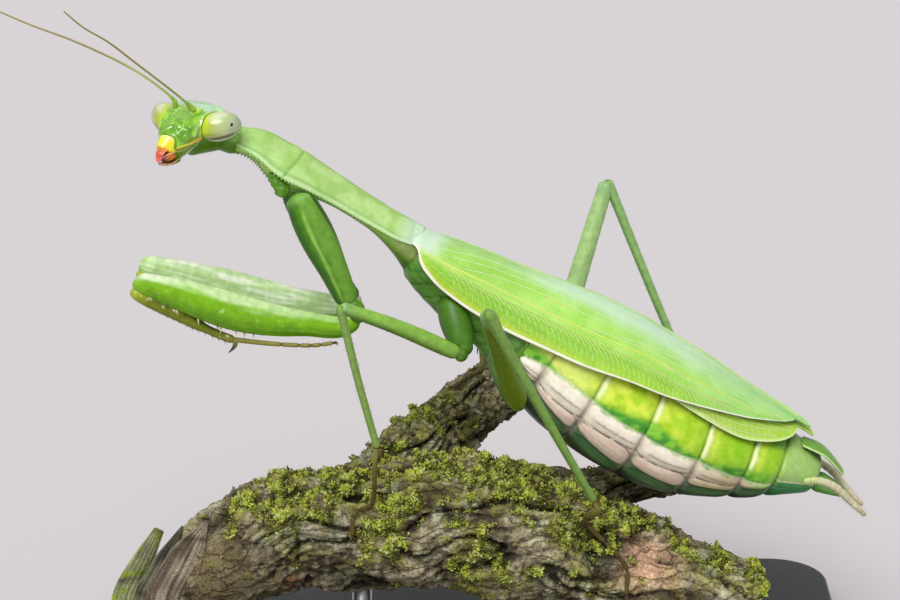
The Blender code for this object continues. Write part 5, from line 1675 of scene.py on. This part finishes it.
        small = 0.3 + 0.25 * (np.arange(self.inner_spines) % 2)
        for turn in (232, 308):
            row(femur, turn, 0.42, 0.92, self.inner_spines, small, (0.25, 0, -0.35), "#5E5016")
        for turn, lean_to in ((300, -0.15), (240, 0.15)):
            row(femur, turn, 0.5, 0.9, 5, 0.75, (0.35, lean_to, -0.4), "#C8C88A")
        for turn in (60, 120):
            row(tibia, turn, 0.2, 0.9, self.tibia_spines, np.linspace(0.25, 0.45, self.tibia_spines),
                (0.45, 0.0, 0.1), "#4A3A14")
        row(tibia, 285, 0.18, 0.9, 9, 0.24, (0.3, 0, -0.2), "#3A2C10")
        row(coxa, 84, 0.12, 0.9, 13, 0.3, (0.0, 0, -0.15), "#B7CF6A")
        row(coxa, 104, 0.16, 0.86, 9, 0.24, (0.0, 0, -0.15), "#B7CF6A")
        return spots

    def add_to(self, shells: Shells, horn: Shells) -> Spots:
        """Lofts the leg into the skin and its claws into the horn, and marks the spines."""
        coxa = Limb(self.coxa, self.coxa_depth, 0.72, dome=(0.6, 1.0), rows=60, columns=48).add_to(
            shells, self.paint_coxa, lambda t, a: -0.06 + 0.05 * hump(a, np.pi / 2, 0.2)
            + 0.08 * hump(np.sin(a), 0.15 + 0.35 * (t - 0.5), 0.1) - 0.05 * hump(np.sin(a), -0.3, 0.2))
        Limb(self.hinge, ((0, 0.45), (0.4, 0.62), (1, 0.8)), 0.8, rows=30, columns=36).add_to(
            shells, "#568C20", lambda t, a: 0.09 * np.sin(19 * t) * np.sin(4 * a + 3 * t))
        # The trochanter is darker on one side by the angle round it: painted shade.
        Limb(self.trochanter, ((0, 0.85), (0.5, 1.0), (1, 0.75)), 0.75, rows=24, columns=36).add_to(
            shells, lambda t, a, rows: mix("#3F6410", "#6FA51E", 0.5 - 0.5 * np.cos(a - math.radians(40))),
            lambda t, a: -0.08 * hump(t, 0.55, 0.08))
        femur = Limb(self.femur, self.femur_depth, 0.56, rows=140, columns=64).add_to(
            shells, self.paint_femur, self.relief_femur)
        tibia = Limb(self.tibia, self.tibia_depth, 0.9, rows=80, columns=24).add_to(
            shells, self.paint_tibia, lambda t, a: -0.03 + 0.06 * hump(np.cos(a), 0, 0.15))
        Limb(self.foot, ((0.0, 0.3), (0.3, 0.27), (1.0, 0.24)), 0.9, rows=80, columns=16).add_to(
            shells, lambda t, a, rows: mix("#8C8436", "#5C3E1C", segments(t, self.foot_joints, 0.014)),
            lambda t, a: -0.03 - 0.09 * segments(t, self.foot_joints, 0.012))
        Limb(self.claw, ((0.0, 0.36), (0.4, 0.28), (0.75, 0.15), (1.0, 0.04)), 0.8, rows=40, columns=20).add_to(
            horn, along("#86803C", ("#4E4636", 0.3, 0.7)))
        end = np.array(self.foot[-1])
        for twist in (-1.0, 1.0):
            hook = [end + (-0.1, 0.08 * twist, 0), end + (0.3, 0.22 * twist, 0.02), end + (0.5, 0.3 * twist, -0.2)]
            Limb(hook, ((0, 0.1), (0.6, 0.07), (1, 0.02)), rows=14, columns=10).add_to(horn, HORN)
        return self.spines(femur, tibia, coxa)


@dataclass
class WalkingLeg:
    """A slender leg that grips the branch: coxa, femur, tibia with spurs, and a foot of five joints."""

    name: str
    hip: Sequence[Place]
    knee: Place
    ankle: Place
    foot: Sequence[tuple[Place, bool]]
    coxa: tuple[float, float, float]
    femur: tuple[float, float]
    tibia: tuple[float, float]
    # Lit and painted-shade tones of each green.
    femur_lit_and_shaded: tuple[str, str] = ("#8EBE4E", "#4E7A1C")
    tibia_lit_and_shaded: tuple[str, str] = ("#86A850", "#4F7028")
    foot_joints: Sequence[float] = (0.45, 0.62, 0.74, 0.84)

    def add_to(self, shells: Shells, horn: Shells, bark: BVHTree) -> Spots:
        """Lofts the leg into the skin with its foot on the bark.

        Args:
            shells: The skin.
            horn: The claws and spurs.
            bark: The surface of the branch, in millimetres.

        Returns:
            The places of its short hairs.
        """
        hip, knee, ankle = np.array(self.hip), np.array(self.knee), np.array(self.ankle)
        first, middle, last = self.coxa
        # The coxa is painted darker where it faces away from the light: painted shade.
        Limb(self.hip, ((0.0, first), (0.45, middle), (1.0, last)), 0.85, rows=36, columns=32).add_to(
            shells, lambda t, a, rows: mix("#4C7C1E", "#2E520F", ease(0.8, -0.5, lit(rows))),
            lambda t, a: -0.06 + 0.05 * np.cos(3 * a) - 0.1 * hump(t, 0.86, 0.03))
        thigh, shin = unit(knee - hip[-1]), unit(ankle - knee)
        Limb([hip[-1] - thigh * 0.2, hip[-1] + thigh * last * 1.25], ((0, last * 0.8), (1, last * 0.62)), 0.85,
             rows=16, columns=30).add_to(shells, "#4F7F1C", lambda t, a: -0.06 * hump(t, 0.7, 0.1))
        start, (thick, thin) = hip[-1] + thigh * (last * 0.75), self.femur
        femur = Limb([start, (start + knee) / 2 + (0, 0, 0.25), knee],
            ((0.0, thick), (0.3, thick * 1.05), (1.0, thin)), 0.8, (0, -1, 0.2), rows=70, columns=24).add_to(shells,
            self.painter(self.femur_lit_and_shaded, "#8FBC7E", 0.84, 0.7),
            lambda t, a: -0.05 + 0.04 * np.cos(4 * a) * ease(0.02, 0.15, t) + 0.05 * hump(t, 0.985, 0.02))
        thick, thin = self.tibia
        tibia = Limb([knee - shin * 0.15, (knee + ankle) / 2 + (-0.15, 0, 0.1), ankle + shin * 0.15],
                     ((0.0, thick * 1.1), (0.15, thick), (1.0, thin)), rows=70, columns=18).add_to(
            shells, self.painter(self.tibia_lit_and_shaded, "#7A6A30", 0.95, 0.5),
            lambda t, a: -0.03 + 0.03 * np.cos(4 * a) + 0.05 * ease(0.94, 1.0, t))
        for turn in (-1.0, 1.0):
            across = unit(np.cross(thigh, shin))
            Limb([knee - thigh * 0.9 + across * turn * thin * 0.5, knee + across * turn * thin * 0.66 + thigh * 0.12],
                 ((0, 0.16), (1, 0.26)), 0.6, tuple(across), rows=10, columns=14).add_to(shells, "#6E9A34")
            tip = ankle + shin * 0.2 + across * turn * 0.28
            Limb([tip, tip + shin * 0.45 + across * turn * 0.12, tip + shin * 0.85 + across * turn * 0.1],
                 ((0, 0.12), (1, 0.03)), rows=12, columns=10).add_to(horn, "#7A4A20")
        self.tread(shells, horn, bark, ankle, thin)
        hairs = Spots()
        for limb, count in ((femur, 150), (tibia, 220)):
            pick = np.random.default_rng(len(self.name) + count)
            row, column = pick.integers(8, len(limb) - 8, count), pick.integers(0, limb.shape[1], count)
            places, middle = limb[row, column], limb[row].mean(1)
            ahead = unit(limb[row + 6].mean(1) - middle)
            hairs.put(places, unit(places - middle) + ahead * 0.9, pick.uniform(0.22, 0.38, count), "#A9B878")
        return hairs

    def painter(self, tones: tuple[str, str], end: str, start: float, share: float) -> Painter:
        """A painter with a lit and a painted-shade flank, darker where the limb faces away from the light, and
        another tone from a start to the limb's end.
        """
        light, dark = tones
        return lambda t, a, rows: coats(light, (dark, ease(0.5, -0.7, lit(rows))), (end, ease(start, 1.0, t) * share))

    def tread(self, shells: Shells, horn: Shells, bark: BVHTree, ankle: Array, thin: float) -> None:
        """Lays the foot on the bark and ends it in two claws and a pad."""
        path = []
        for place, touching in self.foot:
            if touching:
                found, normal, _, _ = bark.find_nearest(Vector(place))
                place = found + normal * 0.3
            path.append(np.array(Vector(place)))
        start = ankle + unit(path[0] - ankle) * (thin * 0.4)
        joints = self.foot_joints
        Limb([start] + path, ((0.0, 0.3), (0.4, 0.26), (1.0, 0.24)), 0.95, rows=90, columns=14).add_to(
            shells, lambda t, a, rows: coats("#7E7A36", ("#57481E", ease(0.0, 0.5, t)),
                                             ("#2E2412", segments(t, joints, 0.01) * 0.8)),
            lambda t, a: -0.02 - 0.09 * segments(t, joints, 0.012)
            + 0.05 * segments(t, [j - 0.03 for j in joints], 0.02) * hump(a, 1.5 * np.pi, 0.8))
        end, ahead = path[-1], unit(path[-1] - path[-2])
        out = np.array(bark.find_nearest(Vector(end))[1])
        across = unit(np.cross(ahead, out))
        for turn in (-1.0, 1.0):
            tip = end + ahead * 0.65 + across * turn * 0.42 - out * 0.25
            Limb([end, end + ahead * 0.4 + across * turn * 0.28 + out * 0.08, tip],
                 ((0, 0.13), (0.6, 0.08), (1, 0.02)), rows=14, columns=10).add_to(horn, HORN)


WALKING_LEGS = (
    WalkingLeg("midleg_left", [(-3.2, -1.9, 42.4), (-2.5, -3.2, 40.0), (-1.5, -5.2, 36.8)], (-13.65, -10.5, 43.7),
               (-10.2, -9.5, 28.9), [((-10.4, -9.3, 27.1), False), ((-10.5, -8.8, 24.4), True),
                                     ((-12.2, -10.0, 21.8), True), ((-13.2, -10.8, 19.8), True)],
               (1.3, 1.65, 1.0), (0.78, 0.62), (0.42, 0.36)),
    WalkingLeg("midleg_right", [(-4.0, 2.4, 44.2), (-2.8, 3.6, 41.6), (-1.3, 5.2, 38.2)], (0.0, 19.3, 39.6),
               (0.3, 20.8, 29.1), [((0.4, 21.0, 28.0), False), ((0.4, 20.0, 26.9), True),
                                   ((-1.2, 17.6, 26.4), True), ((-2.6, 15.6, 25.6), True)],
               (1.35, 1.6, 1.0), (0.75, 0.6), (0.42, 0.36)),
    WalkingLeg("hindleg_left", [(1.6, -3.6, 37.4), (2.6, -4.9, 34.8), (3.8, -6.3, 31.9)], (0.45, -22.5, 47.1),
               (11.1, -12.0, 24.2), [((11.6, -11.6, 22.9), False), ((12.5, -9.6, 20.6), True),
                                     ((13.9, -9.8, 16.6), True), ((14.9, -9.6, 12.8), True)],
               (1.3, 1.5, 1.05), (1.1, 0.8), (0.52, 0.38), ("#78960E", "#54700A"), ("#80A84A", "#5A8434")),
    WalkingLeg("hindleg_right", [(2.6, 3.6, 36.8), (4.6, 5.6, 33.6), (7.2, 7.6, 30.4)], (13.2, 13.2, 49.6),
               (22.9, 11.7, 26.4), [((23.0, 11.6, 24.4), False), ((22.0, 11.2, 20.0), True),
                                    ((19.4, 11.0, 19.5), True), ((16.8, 10.8, 19.0), True)],
               (1.3, 1.5, 1.05), (1.0, 0.78), (0.5, 0.38), ("#A8CA84", "#7AA858"), ("#90B870", "#66944A")),
)


@dataclass
class Body:
    """The skin that neck, thorax and all legs share, with its claws, spines and hairs."""

    trunk: Trunk
    prothorax: Prothorax
    head: Head

    def build(self, kit: Kit, bark: BVHTree) -> None:
        """Makes the skin and what grows from it."""
        skin, horn, hairs = Shells(), Shells(), Spots()
        self.prothorax.body(skin)
        self.prothorax.neck(self.head, skin)
        Thorax(self.trunk).add_to(skin)
        for side in Side:
            kit.spikes.grow(Foreleg(-side.value).add_to(skin, horn), f"foreleg_{side.word}_spines", kit.horn,
                            "cuticle", Width=0.17, Tip=0.02, Sides=8, Steps=3)
        for leg in WALKING_LEGS:
            hairs.rows += leg.add_to(skin, horn, bark).rows
        kit.spikes.grow(hairs, "leg_hairs", kit.feeler, "cuticle", Width=0.05, Tip=0.01, Sides=3, Steps=1)
        horn.piece("claws_and_spurs", kit.horn, "cuticle")
        legs = [f"foreleg_{side.word}" for side in Side] + [leg.name for leg in WALKING_LEGS]
        skin.piece("body_skin", kit.skin, "cuticle", "neck", "prosternum", "mesothorax", "metathorax",
                   *[f"{leg}_{part}" for leg in legs for part in ("coxa", "femur", "tibia", "tarsus")])


# ---------------------------------------------------------------- perch and stand


@dataclass
class Perch:
    """A forked piece of old branch: furrowed bark, a splintered end, lichen crusts and cushions of moss."""

    limbs: Sequence[Sequence[Place]] = (
        ((-32.5, -3.5, 7.8), (-28.5, -3.2, 11.0), (-24.0, -3.0, 14.8), (-18.0, -2.8, 17.4), (-11.0, -2.6, 17.5),
         (-4.0, -2.5, 18.4), (2.0, -2.5, 17.9), (8.0, -2.6, 15.9), (13.5, -2.8, 13.6), (20.0, -3.0, 11.2),
         (27.5, -3.2, 8.6)),
        ((-15.0, -1.0, 17.2), (-10.5, 5.0, 19.4), (-5.0, 12.0, 21.4), (0.5, 20.5, 23.0), (5.0, 26.0, 25.2)),
        ((0.0, 1.0, 16.8), (6.0, 7.5, 16.6), (13.0, 10.3, 16.6), (24.5, 11.2, 18.7)))
    # x, y, z, reach
    moss_beds: Sequence[tuple[float, ...]] = ((-19.5, -5, 22.5, 4.4), (-23, -4.5, 19.8, 2.4), (-14.5, -4, 22.5, 3.2),
        (-11.5, -3, 23.0, 2.6), (-8.5, -7.5, 20.3, 3.0), (-10.5, -8, 17.6, 2.2), (-4.5, -3.5, 24.2, 2.6),
        (0, -3.5, 24.4, 3.8), (4.5, -3.5, 23.4, 3.4), (-0.5, -8, 17.3, 3.2), (-1.8, -8, 13.5, 2.2),
        (2.5, -8, 14.6, 1.8), (8, -5.5, 20.5, 3.8), (11.5, -5, 18.0, 3.0), (13, -3, 18.6, 2.4), (28, -4, 13.0, 2.4),
        (24.5, -3.5, 14.4, 1.8), (20, -3, 15.8, 2.0), (16.5, -3, 17.0, 1.8), (6.0, -7.5, 14.5, 1.6),
        (-5, 11, 23.5, 3.0), (-9.5, 5, 22.5, 2.4), (4, 24, 28.0, 2.4), (6, 5, 20.5, 2.2))
    smooth_wood: tuple[float, ...] = (-25.5, -7.0, 14.6, 4.4)  # a worn place without bark
    pink_wood: tuple[float, ...] = (16.5, -6.5, 15.2, 3.0)
    rust_slits: Sequence[tuple[float, ...]] = ((-18.8, -8, 13.6, 1.4), (-13.1, -8.2, 20.0, 0.8),
        (-29.0, -6, 14.6, 1.2))
    planks: Sequence[Sequence[Place]] = (
        ((-32.5, -3.2, 5.6), (-35.6, -3.5, 7.9), (-36.2, -3.6, 10.2), (-34.4, -3.7, 14.0), (-32.4, -3.8, 17.9)),
        ((-31.5, -4.0, 7.0), (-33.8, -5.0, 10.4), (-32.0, -5.2, 14.4), (-29.9, -5.0, 18.7)),
        ((-30.5, -5.5, 8.0), (-31.8, -6.6, 11.4), (-29.9, -6.6, 15.4), (-27.4, -5.8, 19.6)))
    plank_tones: Sequence[tuple[str, str, str]] = (
        ("#A8AE7C", "#8A8A68", "#7E5C42"), ("#A29C86", "#6E685A", "#6A6450"), ("#A89C86", "#6E6052", "#7C745E"))
    voxel: float = 0.25
    blobs: int = 12000  # moss cushions in one piece
    seed: int = 7

    def solid(self, source: Object) -> Mesh:
        """The branch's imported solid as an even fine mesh, in metres."""
        holder = link("branch", source.data.copy())
        holder.modifiers.new("weld", "WELD").merge_threshold = 0.001 * MM
        even = holder.modifiers.new("even", "REMESH")
        even.mode, even.voxel_size = "VOXEL", self.voxel * MM
        holder.modifiers.new("soften", "SMOOTH").iterations = 3
        fine = flattened(holder)
        fine.materials.clear()
        return fine

    def read(self, mesh: Mesh) -> tuple[Array, Array]:
        """The places in millimetres and the normals of a mesh."""
        points, normals = np.empty((2, len(mesh.vertices) * 3))
        mesh.vertices.foreach_get("co", points)
        mesh.vertices.foreach_get("normal", normals)
        return points.reshape(-1, 3) / MM, normals.reshape(-1, 3)

    def course(self, points: Array) -> tuple[Array, Array]:
        """Millimetres along and round the nearest limb for each point."""
        marks = []
        for number, places in enumerate(self.limbs):
            line, t = Line(places), np.linspace(0, 1, 120)
            centre, side, up, _ = line.frame(t, (0, -1, 0))
            marks.append(np.column_stack([centre, side, up, t * line.length + 100 * number]))
        marks = np.concatenate(marks)
        best = np.concatenate([np.linalg.norm(part[:, None] - marks[None, :, :3], axis=-1).argmin(1)
                               for part in np.array_split(points, max(1, len(points) // 4000))])
        rel = points - marks[best, :3]
        turn = np.arctan2((rel * marks[best, 6:9]).sum(1), (rel * marks[best, 3:6]).sum(1))
        return marks[best, 9], turn * 5.5

    def near(self, points: Array, spot: tuple[float, ...]) -> Array:
        """How near points are to a spot, 1 in its middle."""
        return hump(np.linalg.norm(points - np.array(spot[:3]), axis=1), 0.0, spot[3])

    def moss_share(self, points: Array, normals: Array) -> Array:
        """How thick the moss grows at each place, 0 to 1."""
        bed = np.clip(sum(self.near(points, spot) for spot in self.moss_beds), 0, 1.1)
        return (ease(0.3, 0.78, bed * 0.72 + 0.85 * grain(points, 1.7, 31) + 0.6 * grain(points, 0.7, 32))
                * ease(-0.45, 0.1, normals[:, 2] - 0.3 * normals[:, 1]))

    def carve(self, mesh: Mesh) -> None:
        """Cuts furrows, ledges and warts into the bark and paints them."""
        points, normals = self.read(mesh)
        far, turn = self.course(points)
        wind = turn + 0.16 * far + 2.2 * grain(points, 6.5, 11)
        bare = np.clip(1.3 * self.near(points, self.smooth_wood), 0, 1)
        bare = np.maximum(bare, 0.8 * self.near(points, self.pink_wood))
        rough = 1 - bare

        def ridged(along: float, across: float, seed: int) -> Array:
            """Ridged noise laid along the limb: 1 in the bottom of each furrow."""
            return 1 - np.abs(grain(np.stack([far / along, wind / across, 0.02 * points[:, 2]], -1), 1.0, seed)) * 3.0

        deep, fine = ease(0.6, 1.0, ridged(12, 3.2, 21)), ease(0.5, 1.0, ridged(5, 1.2, 22))
        cross = ease(0.72, 1.0, ridged(2.4, 7.0, 26)) * ease(0.0, 0.3, grain(points, 4.0, 34))
        steps = grain(np.stack([far / 10, wind / 2.6, 0.1 * points[:, 2]], -1), 1.0, 35) * 4.0
        ledge = steps - np.floor(steps)
        lumps, plates, grit = grain(points, 7.0, 24), grain(points, 2.6, 23), grain(points, 0.7, 25)
        moss = self.moss_share(points, normals)
        calm = rough * (1 - 0.55 * moss)
        depth = (-0.1 - 1.05 * deep * calm - 0.45 * fine * calm - 0.4 * cross * calm + 0.32 * ease(0.0, 0.2, ledge)
            * rough - 0.3 * ledge * rough + 0.75 * lumps * (0.4 + 0.6 * rough) + (0.35 * plates + 0.2 * grit) * rough
            + 0.35 * moss * (0.7 + 1.3 * grain(points, 1.3, 27)))
        depth = np.clip(depth, -1.9, 0.6)
        points = points + normals * depth[:, None]
        top = ease(0.0, 0.9, normals[:, 2]) * ease(-26, -20, points[:, 0]) * rough
        crust = ease(0.08, 0.3, grain(points, 2.2, 28) + 0.5 * grit) * (1 - moss)
        black = np.clip(1.2 * ease(0.3, 0.8, deep) + 0.6 * fine + 0.8 * cross, 0, 1) * rough
        tints = coats("#665B47", ("#B0A486", ease(-0.4, 0.4, 0.7 * lumps + 0.5 * plates + 0.6 * grit)),
            ("#4E4335", ease(0.1, -0.4, plates) * 0.6),
            ("#84813F", ease(-0.1, 0.35, grain(points, 3.6, 29) + 0.4 * grit) * 0.7),
            ("#B9AE92", ease(0.3, 0.05, ledge) * ease(0.0, 0.4, grain(points, 3.0, 36)) * 0.7),
            ("#A6A558", top * ease(-0.3, 0.3, grain(points, 1.1, 41) + 0.6 * grit) * 0.6),
            (mix("#D2CFB4", "#A3A684", ease(-0.3, 0.3, grit)), crust * 0.7),
            ("#6F6245", np.clip(1.3 * self.near(points, self.smooth_wood), 0, 1) * 0.9),
            ("#D2A98A", np.clip(self.near(points, self.pink_wood) * (1.1 + 0.8 * grit), 0, 1)),
            ("#17120D", black * 0.86))
        for slit in self.rust_slits:
            tints = mix(tints, "#8A4A34", ease(0.45, 0.9, self.near(points, slit) + 0.3 * grit) * 0.8)
        green = mix("#9C9F4A", "#4C5020", ease(-0.1, 0.5, deep + 0.8 * grain(points, 0.8, 37)))
        tints = mix(tints, green, moss * 0.85)
        mesh.vertices.foreach_set("co", (points * MM).ravel())
        mesh.update()
        paint(mesh, np.clip(tints, 0, 1))

    def moss(self, kit: Kit, mesh: Mesh) -> None:
        """Grows small round cushions over the mossy places, in three pieces."""
        rng = np.random.default_rng(self.seed)
        points, normals = self.read(mesh)
        share = self.moss_share(points, normals) ** 1.7
        for part in range(3):
            pick = rng.choice(len(points), self.blobs, p=share / share.sum())
            place = points[pick] + rng.normal(0, 0.14, (self.blobs, 3)) - normals[pick] * 0.12
            aim = normals[pick] + rng.normal(0, 0.45, (self.blobs, 3)) + (0, 0, 0.3)
            lump = grain(place, 1.0, 33)
            size = rng.uniform(0.16, 0.38, self.blobs) * (0.4 + 0.6 * share[pick]) * (1 + 0.8 * lump)
            # The moss is painted lighter on high lumps and dark in the low gaps between cushions: painted light and
            # shade, over random tones.
            tone = coats("#6C742C", ("#B2BE4A", np.clip(rng.random(self.blobs) * 0.7 + 1.1 * lump, 0, 1)),
                         ("#454A1C", ease(0.1, -0.35, lump + 0.3 * grain(place, 0.45, 42))),
                         ("#D0CC96", (rng.random(self.blobs) < 0.14) * 0.7))
            spots = Spots()
            spots.put(place, aim, size, tone)
            kit.spikes.grow(spots, f"moss_{part + 1}", kit.moss, "bark", Width=0.4, Tip=0.2, Sides=5, Steps=1)

    def fibres(self, t: Array, a: Array, rows: Array) -> Array:
        """Long straight wood fibres along a plank, broken up by slow blotches."""
        across = np.stack([4.5 * np.cos(a) + 0 * t, 2.0 * t + 0 * a, np.sign(np.sin(a)) + 0 * t], -1)
        return grain(across, 1.0, 40) + 0.5 * grain(rows, 2.2, 43)

    def splinters(self) -> Shells:
        """Three long torn planks at the broken end, and short shards below them."""
        shells, rng = Shells(), np.random.default_rng(self.seed + 1)
        for places, tones, wide, point, green in zip(self.planks, self.plank_tones, (4.2, 4.2, 6.0),
                                                     (0.12, 0.02, 0.02), (1.0, 0.1, 0.0)):
            Limb(places, ((0.0, 0.3), (0.6, 0.3), (0.7, 0.28), (1.0, point)), wide, (0.85, 0.1, -0.42),
                 dome=(1.0, 0.2 + 4 * point), rows=110, columns=64).add_to(
                shells, lambda t, a, rows, k=tones, g=green: coats(
                    k[0], (k[1], ease(-0.3, 0.3, self.fibres(t, a, rows))),
                    ("#93A844", ease(0.0, 0.35, grain(rows, 1.3, 44)) * g), (k[2], ease(0.93, 0.99, t) * 0.4)),
                lambda t, a: 0.04 * np.sin(17 * np.cos(a) + 3 * t) + 0.03 * np.sin(31 * np.cos(a) - 5 * t))
        centre = np.array(self.limbs[0][0])
        for turn in rng.uniform(200, 340, 7):
            out = np.array([-0.62, 0.0, -0.5])
            foot = centre + (-0.3 * math.sin(math.radians(turn)), 3.0 * math.cos(math.radians(turn)), -1.0)
            tip = foot + out * rng.uniform(2.0, 3.2)
            Limb([foot - out * 2, foot, tip], ((0, 0.8), (0.6, 0.5), (1, 0.08)), 0.45, (0, 1, 0.3), rows=26,
                 columns=14).add_to(shells, "#4A3F30", lambda t, a: 0.08 * np.sin(5 * a))
        return shells

    def build(self, kit: Kit, source: Object) -> BVHTree:
        """Makes the branch and gives its surface for the feet."""
        mesh = self.solid(source)
        self.carve(mesh)
        dress(mesh, "branch_bark", kit.bark, "bark", "perch")
        self.moss(kit, mesh)
        self.splinters().piece("branch_splinters", kit.wood, "bark")
        return BVHTree.FromPolygons([v.co / MM for v in mesh.vertices], [tuple(p.vertices) for p in mesh.polygons])


@dataclass
class DisplayStand:
    """A flat steel plate with rounded corners and an eased rim, and two short rods with collars."""

    size: tuple[float, float, float] = (76.0, 50.0, 3.0)
    corner: float = 6.0
    ease_edge: float = 0.5
    flat_from: float = 20.0  # mm2; larger faces are shaded flat
    rod_radius: float = 1.0
    rods: Sequence[tuple[float, float]] = ((-12.0, -1.5), (11.0, -1.0))
    rod_top: float = 16.0
    collar: tuple[float, float] = (1.9, 0.8)  # radius, height

    def plate(self) -> Shells:
        """Lofts the plate."""
        outline = []
        half = np.array(self.size[:2]) / 2 - self.corner
        for quarter, sign in enumerate(((1, 1), (-1, 1), (-1, -1), (1, -1))):
            turn = np.pi / 2 * (quarter + np.linspace(0, 1, 14))
            outline.append(half * sign + self.corner * np.stack([np.cos(turn), np.sin(turn)], -1))
        outline = np.concatenate(outline)
        out = unit(outline - np.clip(outline, -half, half))
        edge, top = self.ease_edge, self.size[2]
        rows = [outline - out * 6, outline - out * 0.2, outline]
        heights = [0.0, 0.0, 0.2]
        for turn in np.linspace(0, np.pi / 2, 7):
            rows.append(outline - out * edge * (1 - math.cos(turn)))
            heights.append(top - edge + edge * math.sin(turn))
        rows.append(outline - out * 6)
        heights.append(top)
        shells = Shells()
        shells.loft(np.stack([np.column_stack([row, np.full(len(row), z)]) for row, z in zip(rows, heights)]),
                    PAINT)
        return shells

    def rod(self, x: float, y: float) -> Shells:
        """Turns one rod with its collar."""
        base, radius, (wide, high) = self.size[2], self.rod_radius, self.collar
        profile = [(base, wide - 0.1), (base + 0.1, wide), (base + high - 0.12, wide), (base + high, wide - 0.12),
                   (base + high, radius + 0.08), (base + high + 0.05, radius), (self.rod_top - 0.1, radius),
                   (self.rod_top, radius - 0.1)]
        turn = np.linspace(0, 2 * np.pi, 40, endpoint=False)
        rows = [np.stack([x + r * np.cos(turn), y + r * np.sin(turn), np.full(40, z)], -1) for z, r in profile]
        shells = Shells()
        shells.loft(np.stack(rows), STEEL)
        return shells

    def build(self, kit: Kit) -> None:
        """Makes plate and rods."""
        made = [self.plate().piece("stand_plate", kit.plate, "stand_base", "stand_base")]
        for number, place in enumerate(self.rods, start=1):
            name = f"stand_rod_{number}"
            made.append(self.rod(*place).piece(name + "_turned", kit.rod, "stand_rod", name))
        for thing in made:
            for face in thing.data.polygons:
                face.use_smooth = face.area < self.flat_from * MM**2


# ---------------------------------------------------------------- studio


@dataclass
class Studio:
    """A pale floor, soft light from above and in front, and the camera."""

    look_at: Place = (-3.0, 0.0, 41.0)
    distance: float = 337.0
    elevation: float = 18.0
    lens: float = 134.8
    floor_size: float = 4000.0
    sky: float = 0.42
    sun: float = 2.35
    sun_spread: float = 36.0
    sun_turn: tuple[float, float] = (38.0, -18.0)  # degrees from overhead, and round

    def camera(self) -> None:
        """Puts the camera level with the animal's side."""
        lens = bpy.data.cameras.new("camera")
        lens.lens = self.lens
        lens.clip_start, lens.clip_end = 0.01, 10.0
        eye = link("camera", lens)
        rise = math.radians(self.elevation)
        away = np.array([0.0, -math.cos(rise), math.sin(rise)]) * self.distance
        eye.location = Vector((np.array(self.look_at) + away) * MM)
        eye.rotation_euler = (math.pi / 2 - rise, 0, 0)
        bpy.context.scene.camera = eye

    def lights(self) -> None:
        """An even sky and one broad soft sun."""
        world = bpy.data.worlds.new("studio")
        world.use_nodes = True
        background = world.node_tree.nodes["Background"]
        background.inputs["Color"].default_value = (1.0, 0.99, 1.0, 1.0)
        background.inputs["Strength"].default_value = self.sky
        bpy.context.scene.world = world
        sun = bpy.data.lights.new("sun", "SUN")
        sun.energy, sun.angle = self.sun, math.radians(self.sun_spread)
        link("sun", sun).rotation_euler = (math.radians(self.sun_turn[0]), 0, math.radians(self.sun_turn[1]))
        bpy.context.scene.view_settings.view_transform = "Standard"

    def floor(self) -> None:
        """Lays the floor."""
        half = self.floor_size / 2 * MM
        mesh = bpy.data.meshes.new("floor")
        mesh.from_pydata([(-half, -half, 0), (half, -half, 0), (half, half, 0), (-half, half, 0)], [], [(0, 1, 2, 3)])
        mesh.materials.append(StudioPaper().make())
        link("floor", mesh)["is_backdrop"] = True

    def build(self) -> None:
        """Sets the studio up."""
        self.camera()
        self.lights()
        self.floor()


def corners(box: Iterable) -> list[list[float]]:
    """A box as plain lists of numbers."""
    return [[float(value) for value in corner] for corner in box]


def main() -> None:
    """Builds every sub-assembly in order and works out the bounds of the scene before and after."""
    logging.basicConfig(level=logging.INFO, format="%(message)s")
    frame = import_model()
    packed = corners(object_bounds())
    Studio().build()
    kit = Kit()
    trunk, head, prothorax = Trunk(), Head(), Prothorax()
    bark = Perch().build(kit, frame["nodes"]["perch"])
    DisplayStand().build(kit)
    Body(trunk, prothorax, head).build(kit, bark)
    prothorax.build(kit)
    head.build(kit)
    Abdomen(trunk).build(kit)
    Tail().build(kit)
    Wings(trunk).build(kit)
    {"packed": packed, "visual": corners(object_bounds())}


if __name__ == "__main__":
    main()
